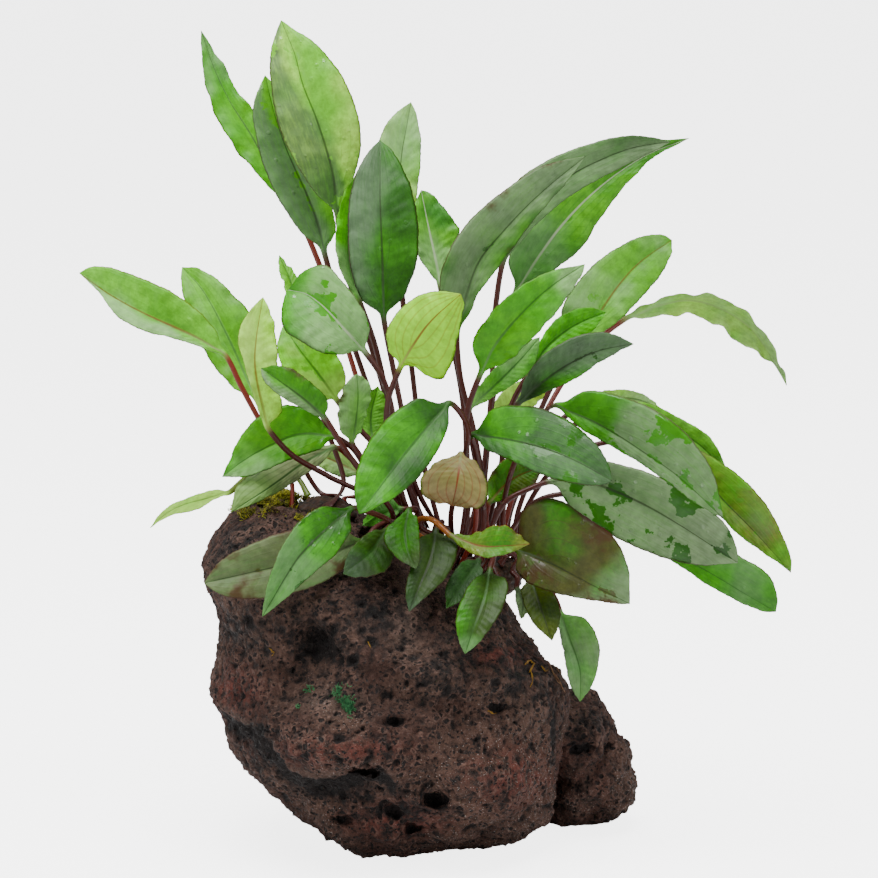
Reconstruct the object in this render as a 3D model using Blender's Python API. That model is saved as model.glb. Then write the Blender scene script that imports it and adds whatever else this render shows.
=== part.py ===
"""A clump of cryptocoryne grown on a lump of lava rock. Metres, +Z up, the viewer on -Y."""

import math

import bmesh
import bpy
import numpy as np
from mathutils import Vector, noise
from mathutils.bvhtree import BVHTree

# The front view. Positions on it are counted in steps, across from its left edge and down
# from its top, and a depth in millimetres says how far behind the middle of the clump it is.
STEP_MM = 0.25
VIEW_MIDDLE = 439.0
VIEW_TILT = math.radians(8.5)
VIEW_DISTANCE_MM = 1200.0
VIEW_TARGET_MM = np.array([3.5, 5.5, 100.8])
RIGHT = np.array([1.0, 0.0, 0.0])
AWAY = np.array([0.0, math.cos(VIEW_TILT), -math.sin(VIEW_TILT)])
UP = np.array([0.0, math.sin(VIEW_TILT), math.cos(VIEW_TILT)])

# Leaves, in millimetres. A leaf is followed as numbered lines from its root to its tip,
# first those of the stalk and then those of the blade, and lofted through some of them.
STALK_RADIUS_MM = 0.8
BLADE_HALF_THICKNESS_MM = 0.32
LEAF_GAP_MM = 0.35
STALK_LINES = 24
BLADE_LINES = 36
STALK_RINGS = (0, 7, 14, 20)
BLADE_RINGS = (24, 27, 31, 36, 42, 48, 54, 58)
STALK_FADE_LINES = 8.0

# How leaves are moved apart. The view is cut into square cells, and leaves that share one
# must keep their room along the view. The lines nearest a root are pushed apart instead.
CELL_MM = 0.5
CELL_MIDDLE = 2000
CELL_ROW = 4000
COVER_STEP = 0.25
COVER_ACROSS = 21
COVER_PAST_MM = 0.45
LEAST_REACH_MM = 0.2
STALK_SPARE_MM = 0.15
BLADE_SPARE_MM = 0.2
STALK_SPREAD_MM = 0.2
SETTLE_ROUNDS = 220
SETTLED_MM = 0.05
OWN_CROWN_LINES = 5
PART_LINES = (9, STALK_LINES)
ROOT_PART, STALK_PART, BLADE_PART = 0, 1, 2
STALK_PUSH = 0.35
CROWN_PUSH = 0.5

# Rootstocks: place in the front view, depth, and half sizes across, deep and high. Each
# sits in a hollow of the rock, and a notch in the rim lets the lowest stalks out.
CROWNS = {
    "left": ((325, 516, 8.0), (8.0, 7.5, 5.0)),
    "middle": ((415, 550, 0.0), (9.0, 9.0, 5.0)),
    "right": ((488, 576, -2.0), (9.0, 9.0, 5.5)),
}
CROWN_GAP_MM = 0.3
HOLLOW_ROOM_MM = 2.5
RIM_NOTCH = ((386, 534, -14.0), (5.0, 8.0, 4.5))
CROWN_LUMP_MM = 0.5
ROOT_SPREAD = 0.8
ROOT_RISE_MM = 2.2
ROCK_CLEAR_MM = 1.4

# Rock: where each tilted layer meets the left and the right outline, then how far it
# reaches in front of the middle and behind it
ROCK_LAYERS = (
    ((252, 503), (372, 527), 14.0, 24.0),
    ((236, 507), (470, 572), 26.0, 33.0),
    ((222, 521), (509, 602), 33.0, 38.0),
    ((209, 541), (529, 632), 38.0, 41.0),
    ((199, 561), (545, 655), 41.0, 43.0),
    ((205, 581), (556, 666), 43.0, 44.0),
    ((215, 604), (562, 682), 43.0, 45.0),
    ((220, 624), (566, 698), 42.5, 46.0),
    ((216, 645), (568, 715), 43.5, 46.5),
    ((214, 665), (567, 730), 45.0, 46.5),
    ((205, 684), (565, 743), 46.0, 46.0),
    ((214, 701), (562, 754), 46.0, 45.5),
    ((223, 720), (561, 765), 45.0, 45.0),
    ((231, 743), (560, 777), 43.0, 44.5),
    ((241, 762), (559, 788), 40.0, 44.0),
    ((262, 781), (556, 800), 37.0, 43.0),
    ((283, 802), (551, 811), 34.0, 41.0),
    ((298, 814), (544, 818), 30.0, 39.0),
    ((320, 829), (530, 826), 26.0, 37.0),
    ((332, 843), (510, 839), 22.0, 35.0),
    ((342, 852), (488, 850), 18.0, 32.0),
)
ROCK_FOOT = ((356, 859), (470, 858), 13.5, 28.0)
ROCK_AROUND = 40
ROCK_SQUARENESS = 2.4
ROCK_TOP_INSETS = (0.66, 0.33)
ROCK_EASE = 0.25
ROCK_SIDE_CALM = 0.65
ROCK_FRONT_MM = 6.0
LOBE_CALM = 0.8
FOOT_CLEAR_MM = 0.8

# Unevenness of the rock's skin: how far out, how wide and where in the pattern
ROCK_LUMPS = (3.2, 21.0, Vector((3.1, 7.7, 1.9)))
ROCK_KNOBS = (2.6, 12.0, Vector((5.7, 2.2, 8.8)))
ROCK_GRIT = (1.9, 8.0, Vector((9.2, 4.4, 0.3)))
MERGE_MM = 0.001

# Lumps of the lobe at the rock's lower right: place, depth and half sizes
LOBES = (
    ((570, 735, 16.0), (10.0, 17.0, 11.5)),
    ((592, 768, 22.0), (10.6, 16.0, 11.0)),
    ((573, 788, 24.0), (9.6, 15.0, 9.2)),
)
LOBE_DETAIL = 3
NOTCH_DETAIL = 2

# Swellings and hollows of the rock's front: place, radius and how far out
ROCK_SWELLS = (
    ((250, 716), 11.0, 3.5),
    ((300, 742), 12.0, 4.5),
    ((345, 748), 11.0, 3.8),
    ((395, 742), 10.0, 1.8),
    ((480, 775), 16.0, 3.5),
    ((235, 560), 9.0, 2.5),
    ((430, 650), 13.0, 3.0),
    ((270, 610), 9.0, 2.0),
    ((400, 840), 14.0, 2.0),
    ((480, 830), 8.0, -3.0),
    ((258, 734), 6.0, 2.5),
    ((300, 764), 6.0, 3.5),
    ((338, 765), 6.0, 3.5),
    ((315, 645), 8.5, -6.5),
    ((256, 759), 7.0, -5.0),
    ((292, 794), 7.5, -5.5),
    ((325, 792), 7.5, -6.5),
    ((362, 781), 6.5, -6.5),
    ((385, 700), 7.5, -3.0),
    ((455, 715), 8.0, -3.2),
    ((545, 760), 6.5, -4.0),
    ((222, 622), 5.0, -2.0),
    ((500, 700), 7.5, -2.4),
    ((340, 615), 7.0, 1.8),
    ((500, 660), 8.0, 2.0),
    ((245, 665), 8.0, 1.6),
    ((300, 695), 7.0, -1.8),
    ((425, 780), 8.0, -2.4),
    ((520, 800), 8.0, 1.8),
    ((350, 685), 6.0, 1.8),
    ((430, 725), 6.0, 1.8),
)
# Open pits: place, half width, half height and depth
ROCK_PITS = (
    ((435, 801), 3.2, 2.4, 5.0),
    ((412, 829), 2.4, 2.0, 4.0),
    ((393, 811), 2.6, 2.2, 2.5),
    ((340, 821), 4.2, 1.1, 3.0),
    ((393, 723), 3.4, 0.9, 2.4),
    ((500, 707), 3.4, 0.8, 2.4),
    ((361, 773), 4.4, 2.2, 5.0),
    ((580, 751), 3.2, 0.9, 2.4),
)

# Moss: its reach across and down the front view, where it ends in front, its gap to the
# rock, its thickness, its room to the left rootstock and how level the rock is under it
MOSS_REACH = ((236, 335), (490, 515))
MOSS_FRONT_MM = 9.0
MOSS_GAP_MM = 0.3
MOSS_THICK_MM = 1.3
MOSS_CROWN_ROOM_MM = 3.0
MOSS_LEVEL = 0.45

STONE = ("lava_stone", (0.075, 0.038, 0.030, 1.0), 0.85)
ROOTSTOCK = ("rootstock", (0.10, 0.045, 0.022, 1.0), 0.6)
MOSS = ("moss_green", (0.17, 0.19, 0.03, 1.0), 0.9)
LEAF_GREENS = {
    "bright": (0.10, 0.33, 0.030, 1.0),
    "light": (0.26, 0.50, 0.10, 1.0),
    "dark": (0.045, 0.12, 0.045, 1.0),
    "grey": (0.10, 0.17, 0.10, 1.0),
    "pale": (0.38, 0.55, 0.15, 1.0),
    "olive": (0.12, 0.13, 0.025, 1.0),
}
LEAF_ROUGHNESS = 0.35

# One row a leaf, read off the front view:
#   crown, colour, stalk from near its root with depths, midrib from base to tip,
#   edge on the left and on the right when looking from base to tip (or half widths in
#   steps), depth of the base, middle and tip, lean of the blade across (right edge back),
#   and the fold along the midrib, positive when the upper side faces the viewer
LEAVES = {
    "leaf_front_broad": (
        "middle", "bright", ((450, 508, -12), (464, 460, -17), (467, 425, -23)),
        ((450, 403), (425, 430), (400, 460), (378, 490), (359, 514)),
        ((449, 425), (432, 460), (405, 490), (372, 510)),
        ((420, 399), (400, 408), (375, 432), (358, 465), (354, 495)),
        (-28, -38, -46), 0.15, 0.2),
    "leaf_red_midrib": (
        "middle", "pale", ((398, 480, -12), (386, 425, -18), (391, 390, -22)),
        ((400, 368), (410, 350), (430, 322), (461, 294)),
        ((388, 350), (388, 328), (410, 300), (438, 291)),
        ((420, 370), (438, 382), (453, 360), (459, 328), (464, 305)),
        (-24, -32, -36), -0.2, -0.3),
    "leaf_left_browned": (
        "middle", "dark", ((392, 510, -15), (362, 474, -21), (340, 442, -24)),
        ((325, 418), (305, 400), (285, 385), (261, 368)),
        ((305, 410), (280, 396), (263, 380)),
        ((328, 400), (307, 379), (290, 368), (275, 366)),
        (-24, -28, -26), 0.2, 0.25),
    "leaf_lower_right_front": (
        "right", "bright", ((484, 515, -7), (480, 475, -11), (475, 450, -16)),
        ((472, 435), (510, 440), (550, 450), (580, 463), (612, 481)),
        ((487, 412), (520, 405), (560, 415), (590, 438), (608, 462)),
        ((480, 447), (505, 458), (535, 472), (565, 482), (600, 486)),
        (-21, -31, -36), -0.3, 0.15),
    "leaf_centre_dark": (
        "middle", "dark", ((412, 480, -4), (400, 400, -6), (388, 345, -7)),
        ((384, 320), (383, 290), (382, 250), (380, 200), (380, 165), (380, 140)),
        ((362, 302), (350, 265), (348, 225), (352, 185), (366, 155)),
        ((402, 300), (416, 265), (419, 235), (412, 190), (395, 155)),
        (-8, -10, -2), 0.15, 0.2),
    "leaf_right_bright": (
        "right", "bright", ((469, 518, -9), (465, 430, -12), (473, 392, -14)),
        ((480, 375), (495, 345), (520, 315), (550, 287), (585, 264)),
        ((472, 350), (478, 330), (505, 298), (545, 273)),
        ((510, 360), (538, 332), (560, 308), (582, 275)),
        (-15, -20, -14), 0.25, 0.2),
    "leaf_front_left": (
        "middle", "bright", ((399, 532, -18), (384, 516, -28)),
        ((352, 508), (325, 530), (310, 545), (295, 562), (262, 617)),
        ((352, 526), (338, 552), (312, 575), (286, 598)),
        ((335, 506), (320, 507), (300, 521), (280, 550), (266, 588)),
        (-37, -47, -49), -0.2, 0.25),
    "leaf_left_curled": (
        "middle", "bright", ((398, 510, -6), (379, 480, -10), (360, 456, -13)),
        ((352, 442), (356, 420), (358, 398), (357, 374)),
        ((340, 430), (339, 405), (346, 382)),
        ((363, 425), (371, 397), (367, 380)),
        (-13, -16, -18), 0.4, 0.3),
    "leaf_centre_left_blunt": (
        "middle", "grey", ((404, 470, -5), (390, 395, -10), (374, 364, -13)),
        ((365, 352), (345, 330), (325, 308), (306, 294), (288, 290)),
        ((350, 354), (325, 354), (300, 341), (282, 326), (282, 303)),
        ((371, 330), (357, 300), (336, 275), (318, 262), (298, 276)),
        (-14, -18, -14), 0.1, 0.15),
    "leaf_left_pale": (
        "middle", "light", ((388, 512, -4), (345, 484, -9), (300, 462, -14), (278, 440, -18)),
        ((268, 428), (261, 400), (255, 370), (256, 340), (263, 297)),
        ((256, 405), (246, 370), (238, 337), (249, 311)),
        ((283, 413), (277, 385), (278, 352), (272, 315)),
        (-20, -22, -18), 0.3, 0.3),
    "leaf_lower_right_broad": (
        "right", "dark", ((502, 525, -4), (512, 470, -8), (535, 424, -11)),
        ((555, 405), (600, 425), (640, 450), (680, 478), (723, 518)),
        ((568, 393), (598, 391), (637, 402), (672, 421), (698, 447), (716, 480)),
        ((580, 428), (615, 449), (650, 470), (700, 506)),
        (-13, -20, -22), 0.15, 0.15),
    "leaf_front_small": (
        "middle", "bright", ((421, 528, -15), (415, 508, -21)),
        ((409, 510), (405, 530), (408, 552), (416, 569)),
        ((418, 520), (420, 545), (420, 560)),
        ((392, 523), (382, 535), (396, 558)),
        (-24, -33, -38), 0.1, 0.3),
    "leaf_front_low": (
        "right", "bright", ((492, 566, -15), (494, 556, -24)),
        ((490, 570), (484, 600), (473, 630), (465, 654)),
        ((508, 582), (501, 612), (480, 642)),
        ((470, 583), (456, 615), (459, 642)),
        (-30, -40, -43), 0.1, 0.3),
    "leaf_front_folded": (
        "middle", "light", ((412, 530, -14), (418, 519, -20), (436, 522, -29)),
        ((450, 535), (480, 546), (505, 546), (530, 544)),
        ((470, 534), (501, 525), (520, 535)),
        ((463, 548), (485, 558), (510, 553)),
        (-31, -35, -33), -0.4, 0.3),
    "leaf_upper_right_grey": (
        "right", "grey", ((480, 500, 0), (466, 400, -2), (454, 352, -4)),
        ((457, 333), (468, 290), (485, 250), (500, 235), (520, 213), (550, 185), (586, 156)),
        ((438, 300), (447, 255), (462, 230), (480, 210), (505, 190), (545, 165)),
        ((469, 318), (480, 290), (505, 260), (530, 225), (562, 188)),
        (-4, -4, 2), 0.2, 0.25),
    "leaf_front_blue_green": (
        "middle", "bright", ((440, 533, -12), (443, 521, -19)),
        ((436, 530), (430, 560), (418, 590), (409, 612)),
        ((458, 545), (448, 575), (425, 598)),
        ((419, 540), (411, 565), (405, 592)),
        (-26, -36, -41), -0.1, 0.2),
    "leaf_front_brownish": (
        "right", "olive", ((500, 556, -12), (508, 546, -17)),
        ((514, 548), (550, 563), (590, 584), (630, 604)),
        ((518, 518), (536, 501), (562, 500), (592, 522), (618, 542), (629, 572)),
        ((516, 572), (540, 588), (577, 598), (618, 604)),
        (-20, -27, -30), 0.1, 0.1),
    "leaf_left_glossy": (
        "middle", "bright", ((398, 523, -1), (375, 489, -2), (352, 448, -5)),
        ((335, 437), (300, 434), (265, 448), (240, 463), (222, 477)),
        ((325, 447), (290, 460), (250, 476)),
        ((322, 419), (295, 405), (262, 414), (240, 437), (228, 462)),
        (-8, -10, -8), 0.15, 0.2),
    "leaf_centre_left_bright": (
        "middle", "light", ((405, 500, -4), (377, 448, -7), (346, 414, -9)),
        ((337, 400), (320, 376), (300, 350), (283, 325)),
        ((315, 402), (290, 380), (277, 350)),
        ((346, 383), (341, 362), (325, 342), (300, 328)),
        (-9, -9, -5), 0.1, 0.15),
    "leaf_front_short": (
        "middle", "grey", ((404, 534, -14), (394, 525, -19)),
        ((386, 530), (370, 552), (343, 574)),
        ((395, 550), (386, 571), (362, 578)),
        ((368, 532), (348, 553)),
        (-20, -32, -38), 0.2, 0.2),
    "leaf_front_grey": (
        "middle", "grey", ((399, 528, -14), (384, 521, -20)),
        ((365, 540), (320, 557), (270, 568), (204, 583)),
        ((345, 568), (310, 588), (262, 598), (222, 596)),
        ((338, 527), (292, 530), (258, 541), (220, 561)),
        (-24, -36, -41), 0.15, 0.2),
    "leaf_lower_right_wet": (
        "right", "dark", ((490, 535, -6), (500, 507, -7), (527, 490, -7)),
        ((548, 482), (580, 480), (620, 493), (660, 513), (700, 538), (738, 563)),
        ((570, 460), (615, 463), (665, 480), (722, 521), (736, 545)),
        ((553, 493), (580, 515), (615, 537), (650, 553), (692, 565)),
        (-6, -8, -10), 0.15, 0.15),
    "leaf_right_shaded": (
        "right", "grey", ((481, 520, -3), (474, 450, -6), (469, 422, -8)),
        ((470, 408), (495, 385), (520, 360), (540, 337)),
        ((476, 390), (500, 362), (525, 342)),
        ((500, 393), (528, 373), (538, 355)),
        (-8, -8, -6), 0.2, 0.2),
    "leaf_front_narrow": (
        "right", "dark", ((479, 562, -14), (484, 552, -18)),
        ((479, 560), (465, 580), (446, 609)),
        ((481, 580), (465, 599)),
        ((461, 563), (446, 586)),
        (-20, -29, -36), 0.1, 0.3),
    "leaf_mottled_underside": (
        "right", "olive", ((477, 532, -11), (475, 495, -15), (466, 468, -19)),
        ((461, 454), (459, 470), (456, 489), (452, 506)),
        ((478, 464), (488, 486), (481, 507)),
        ((436, 462), (421, 478), (424, 496)),
        (-22, -27, -24), 0.1, -0.3),
    "leaf_low_dark": (
        "middle", "dark", ((424, 524, -4), (416, 512, -7)),
        ((402, 509), (390, 511), (376, 517), (362, 526)),
        ((391, 519), (376, 526)),
        ((390, 498), (374, 503)),
        (-9, -10, -10), 0.1, 0.2),
    "leaf_right_dark": (
        "right", "dark", ((495, 500, -2), (508, 420, -3)),
        ((518, 404), (545, 380), (580, 358), (610, 348), (634, 344)),
        ((522, 385), (540, 358), (570, 338), (590, 333), (614, 334)),
        ((545, 393), (575, 379), (600, 362), (620, 352)),
        (-4, -4, 2), 0.2, 0.25),
    "leaf_upper_right_middle": (
        "right", "grey", ((487, 450, 3), (492, 340, 6), (498, 290, 7)),
        ((503, 262), (535, 210), (570, 176), (605, 158), (640, 146), (671, 142)),
        ((494, 232), (508, 192), (530, 170), (562, 154), (600, 141), (640, 135)),
        ((522, 240), (546, 215), (572, 195), (602, 178), (642, 157)),
        (8, 8, 14), 0.2, 0.25),
    "leaf_top_tallest": (
        "middle", "light", ((404, 460, 4), (372, 350, 6), (350, 285, 7)),
        ((338, 218), (333, 175), (325, 145), (315, 115), (303, 85), (295, 55), (281, 20)),
        ((320, 200), (294, 160), (276, 118), (271, 82), (271, 48)),
        ((350, 190), (361, 150), (357, 112), (342, 76), (316, 44)),
        (6, 1, 5), 0.1, 0.2),
    "leaf_right_green": (
        "right", "bright", ((500, 480, 2), (512, 405, 1)),
        ((528, 375), (548, 346), (575, 325), (606, 312)),
        ((531, 355), (545, 333), (560, 316), (588, 307)),
        ((545, 365), (572, 348), (596, 327)),
        (0, 3, 6), 0.2, 0.2),
    "leaf_behind_front": (
        "right", "olive", ((489, 535, -4), (486, 518, -5)),
        ((489, 503), (505, 485), (522, 474), (541, 468)),
        ((488, 480), (503, 460), (525, 455)),
        ((505, 499), (525, 492), (538, 480)),
        (-6, -5, -3), 0.1, 0.2),
    "leaf_front_right_small": (
        "right", "bright", ((512, 563, -8), (523, 565, -11)),
        ((530, 576), (540, 605), (552, 641)),
        ((547, 584), (560, 608), (557, 630)),
        ((521, 590), (531, 620)),
        (-13, -20, -24), 0.1, 0.3),
    "leaf_top_dark": (
        "middle", "bright", ((396, 470, 8), (362, 370, 10), (333, 285, 10)),
        ((325, 255), (318, 225), (307, 195), (291, 160), (276, 120), (265, 75)),
        ((309, 242), (290, 218), (272, 186), (259, 150), (253, 105)),
        ((336, 238), (330, 200), (312, 150), (292, 105)),
        (10, 10, 12), 0.15, 0.2),
    "leaf_lower_right_bright": (
        "right", "bright", ((505, 545, 0), (535, 502, 0), (575, 494, 0)),
        ((605, 500), (650, 540), (700, 567), (740, 591), (776, 612)),
        ((640, 510), (700, 535), (760, 568), (777, 590)),
        ((628, 530), (680, 566), (720, 592), (760, 611)),
        (0, 2, 1), 0.15, 0.2),
    "leaf_top_narrow": (
        "middle", "bright", ((408, 490, 0), (388, 400, -1), (372, 335, -1)),
        ((359, 300), (350, 270), (348, 240), (352, 205), (358, 172)),
        ((345, 282), (336, 255), (337, 222), (345, 190)),
        ((366, 275), (366, 240), (364, 205)),
        (-1, 0, 2), 0.4, 0.3),
    "leaf_top_folded": (
        "right", "grey", ((470, 460, 3), (456, 370, 5), (446, 310, 7)),
        ((440, 285), (436, 262), (430, 235), (425, 210), (421, 190)),
        ((427, 270), (414, 245), (412, 212)),
        ((450, 252), (460, 232), (447, 212), (430, 193)),
        (8, 10, 12), 0.3, 0.4),
    "leaf_lower_right_olive": (
        "right", "olive", ((515, 530, 6), (560, 462, 8), (620, 440, 9)),
        ((655, 440), (700, 475), (735, 513), (755, 532), (791, 573)),
        ((690, 446), (727, 466), (749, 484), (768, 507), (781, 533), (791, 556)),
        ((675, 475), (700, 500), (725, 520), (745, 541), (775, 561)),
        (10, 12, 16), 0.15, 0.1),
    "leaf_lower_right_narrow": (
        "right", "bright", ((518, 510, 6), (555, 440, 8), (592, 415, 9)),
        ((618, 408), (665, 425), (700, 445), (730, 477)),
        ((643, 402), (680, 418), (712, 439)),
        ((640, 425), (675, 446), (710, 468)),
        (9, 14, 20), 0.2, 0.2),
    "leaf_small_dark": (
        "middle", "dark", ((402, 511, 3), (382, 465, 1)),
        ((372, 440), (371, 415), (378, 386)),
        ((360, 425), (360, 400)),
        ((385, 425), (386, 400)),
        (0, 1, 2), 0.2, 0.2),
    "leaf_left_underside": (
        "middle", "light", ((394, 522, 5), (370, 488, 7), (352, 459, 7)),
        ((335, 447), (305, 462), (270, 487), (231, 512)),
        ((322, 463), (288, 486), (252, 505)),
        ((310, 445), (270, 462), (238, 485)),
        (6, 6, 7), 0.2, -0.2),
    "leaf_far_left": (
        "left", "bright", ((305, 500, 8), (288, 470, 8), (257, 414, 8), (236, 376, 8)),
        ((226, 356), (205, 342), (180, 330), (145, 314), (110, 295), (79, 273)),
        ((206, 350), (184, 341), (146, 332), (120, 319), (98, 292)),
        ((218, 333), (195, 308), (160, 286), (120, 271), (95, 265)),
        (9, 12, 18), 0.3, 0.35),
    "leaf_front_right_tiny": (
        "right", "grey", ((508, 572, -9), (515, 577, -11)),
        ((517, 588), (523, 603), (521, 619)), 8, 7,
        (-12, -14, -16), 0.1, 0.2),
    "leaf_front_right_hanging": (
        "right", "bright", ((512, 562, -3), (545, 589, -5)),
        ((560, 612), (570, 640), (580, 670), (580, 702)),
        ((583, 617), (596, 634), (600, 652), (594, 682)),
        ((558, 628), (564, 655), (570, 685)),
        (-11, -17, -19), 0.1, 0.2),
    "leaf_right_veined": (
        "right", "bright", ((505, 490, 8), (545, 400, 14), (564, 362, 16)),
        ((578, 338), (595, 320), (615, 290), (640, 262), (672, 240)),
        ((560, 318), (572, 290), (592, 266), (622, 245), (656, 233)),
        ((600, 334), (622, 318), (641, 298), (657, 280), (671, 257)),
        (18, 22, 30), 0.1, 0.15),
    "leaf_right_arching": (
        "right", "bright", ((510, 500, 10), (552, 400, 19), (575, 362, 23), (607, 332, 28)),
        ((625, 319), (660, 305), (690, 300), (715, 306), (740, 320), (760, 339), (787, 386)),
        ((640, 306), (660, 298), (700, 292), (728, 300), (750, 317), (767, 338), (783, 368)),
        ((645, 320), (668, 315), (705, 316), (731, 340), (752, 350), (774, 366)),
        (30, 38, 42), 1.2, 0.3),
    "leaf_left_green": (
        "left", "light", ((318, 500, 11), (300, 470, 12), (278, 434, 14)),
        ((257, 400), (245, 375), (232, 345), (218, 318), (205, 293), (182, 267)),
        ((240, 394), (217, 370), (203, 348), (190, 315), (181, 286)),
        ((263, 380), (258, 345), (249, 311), (228, 290), (203, 270)),
        (15, 20, 28), 0.15, 0.2),
    "leaf_small_bright": (
        "left", "bright", ((340, 500, 8), (328, 450, 12), (310, 375, 15)),
        ((302, 330), (296, 305), (290, 280), (279, 255)),
        ((288, 310), (284, 285), (279, 268)),
        ((309, 312), (299, 280), (288, 263)),
        (16, 19, 24), 0.7, 0.3),
    "leaf_top_pale": (
        "middle", "light", ((425, 470, 8), (412, 370, 12), (402, 295, 14)),
        ((398, 252), (399, 205), (401, 160), (406, 130), (411, 102)),
        ((382, 225), (376, 180), (379, 140), (393, 115)),
        ((412, 225), (418, 185), (421, 150), (418, 118)),
        (14, 16, 20), 0.15, 0.2),
    "leaf_upper_right_back": (
        "right", "light", ((487, 470, 8), (493, 395, 13), (507, 335, 16)),
        ((515, 294), (531, 268), (562, 225), (600, 187), (645, 156), (690, 138)),
        ((505, 275), (517, 240), (542, 210), (585, 174), (640, 144)),
        ((545, 274), (568, 263), (585, 243), (603, 215), (626, 185), (650, 160)),
        (18, 20, 30), 0.15, 0.2),
    "leaf_top_left": (
        "middle", "light", ((388, 480, 10), (345, 340, 20), (319, 262, 24)),
        ((306, 232), (285, 195), (262, 155), (248, 130), (228, 98), (214, 68), (201, 30)),
        ((288, 207), (258, 175), (231, 143), (211, 105), (202, 62)),
        ((300, 200), (284, 160), (264, 122), (242, 98), (221, 60)),
        (26, 32, 38), 0.3, 0.25),
    "leaf_left_thin": (
        "left", "light", ((303, 478, 14), (265, 466, 20)),
        ((230, 492), (205, 499), (180, 506), (162, 517), (150, 528)),
        ((218, 499), (198, 509), (175, 514)),
        ((218, 490), (190, 496), (168, 506)),
        (22, 27, 32), 1.3, 0.3),
    "leaf_back_left": (
        "left", "light", ((343, 503, 14), (359, 495, 14), (368, 486, 14)),
        ((360, 474), (341, 464), (319, 455), (298, 450)), 13, 13,
        (14, 17, 20), 0.2, 0.2),
    "leaf_back_yellow": (
        "right", "light", ((485, 500, 14), (486, 450, 18)),
        ((492, 425), (510, 404), (534, 390), (562, 380)), 15, 16,
        (20, 28, 38), 0.2, 0.2),
    "leaf_back_right": (
        "right", "bright", ((508, 520, 12), (540, 450, 18), (566, 415, 20)),
        ((590, 402), (620, 398), (640, 400), (662, 409)),
        ((605, 391), (630, 390), (650, 398)),
        ((610, 410), (635, 412)),
        (22, 34, 46), 0.2, 0.2),
}


def view_mm(across, down):
    """Millimetres right of and above the middle of the front view, for a place in steps."""
    return (across - VIEW_MIDDLE) * STEP_MM, (VIEW_MIDDLE - down) * STEP_MM


def to_world(seen):
    """Points held as right, above and depth in the front view, in millimetres of the world."""
    seen = np.asarray(seen, float)
    spread = 1.0 + seen[..., 2:3] / VIEW_DISTANCE_MM
    return (
        VIEW_TARGET_MM
        + seen[..., 0:1] * spread * RIGHT
        + seen[..., 1:2] * spread * UP
        + seen[..., 2:3] * AWAY
    )


def to_view(world):
    """The front view's right, above and depth of a point of the world, in millimetres."""
    offset = np.asarray(world, float) - VIEW_TARGET_MM
    depth = float(offset @ AWAY)
    spread = 1.0 + depth / VIEW_DISTANCE_MM
    return np.array([float(offset @ RIGHT) / spread, float(offset @ UP) / spread, depth])


def smooth_line(points, count):
    """Evenly spaced points on a smooth curve through the given ones."""
    points = np.asarray(points, float)
    if len(points) == 2:
        points = np.array([points[0], (points[0] + points[1]) / 2, points[1]])
    gaps = np.linalg.norm(np.diff(points, axis=0), axis=1)
    knots = np.concatenate([[0.0], np.cumsum(np.sqrt(gaps))])
    slopes = np.empty_like(points)
    slopes[1:-1] = (points[2:] - points[:-2]) / (knots[2:] - knots[:-2])[:, None]
    slopes[0] = (points[1] - points[0]) / (knots[1] - knots[0])
    slopes[-1] = (points[-1] - points[-2]) / (knots[-1] - knots[-2])
    fine = np.linspace(0, knots[-1], 40 * len(points))
    at = np.clip(np.searchsorted(knots, fine, side="right") - 1, 0, len(points) - 2)
    width = (knots[at + 1] - knots[at])[:, None]
    t = ((fine - knots[at])[:, None]) / width
    curve = (
        (2 * t**3 - 3 * t**2 + 1) * points[at]
        + (t**3 - 2 * t**2 + t) * width * slopes[at]
        + (3 * t**2 - 2 * t**3) * points[at + 1]
        + (t**3 - t**2) * width * slopes[at + 1]
    )
    run = np.concatenate([[0.0], np.cumsum(np.linalg.norm(np.diff(curve, axis=0), axis=1))])
    wanted = np.linspace(0, run[-1], count)
    return np.stack([np.interp(wanted, run, curve[:, k]) for k in range(curve.shape[1])], 1)


def flat_normals(line):
    """Unit vectors to the left of a line's run in the front view."""
    run = np.gradient(line[:, :2], axis=0)
    run /= np.linalg.norm(run, axis=1)[:, None]
    return np.stack([-run[:, 1], run[:, 0]], 1)


def blade_edge(rib, given, side):
    """One edge of a blade in the front view, from its read points or from a half width."""
    if isinstance(given, (int, float)):
        t = np.linspace(0, 1, len(rib))
        half = given * STEP_MM * np.sin(np.pi * t**0.8) ** 0.85
        half[0] = STALK_RADIUS_MM
        return rib[:, :2] + side * half[:, None] * flat_normals(rib)
    start = rib[0, :2] + side * STALK_RADIUS_MM * flat_normals(rib)[0]
    points = [start] + [view_mm(*p) for p in given] + [rib[-1, :2]]
    return smooth_line(points, len(rib))


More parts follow.
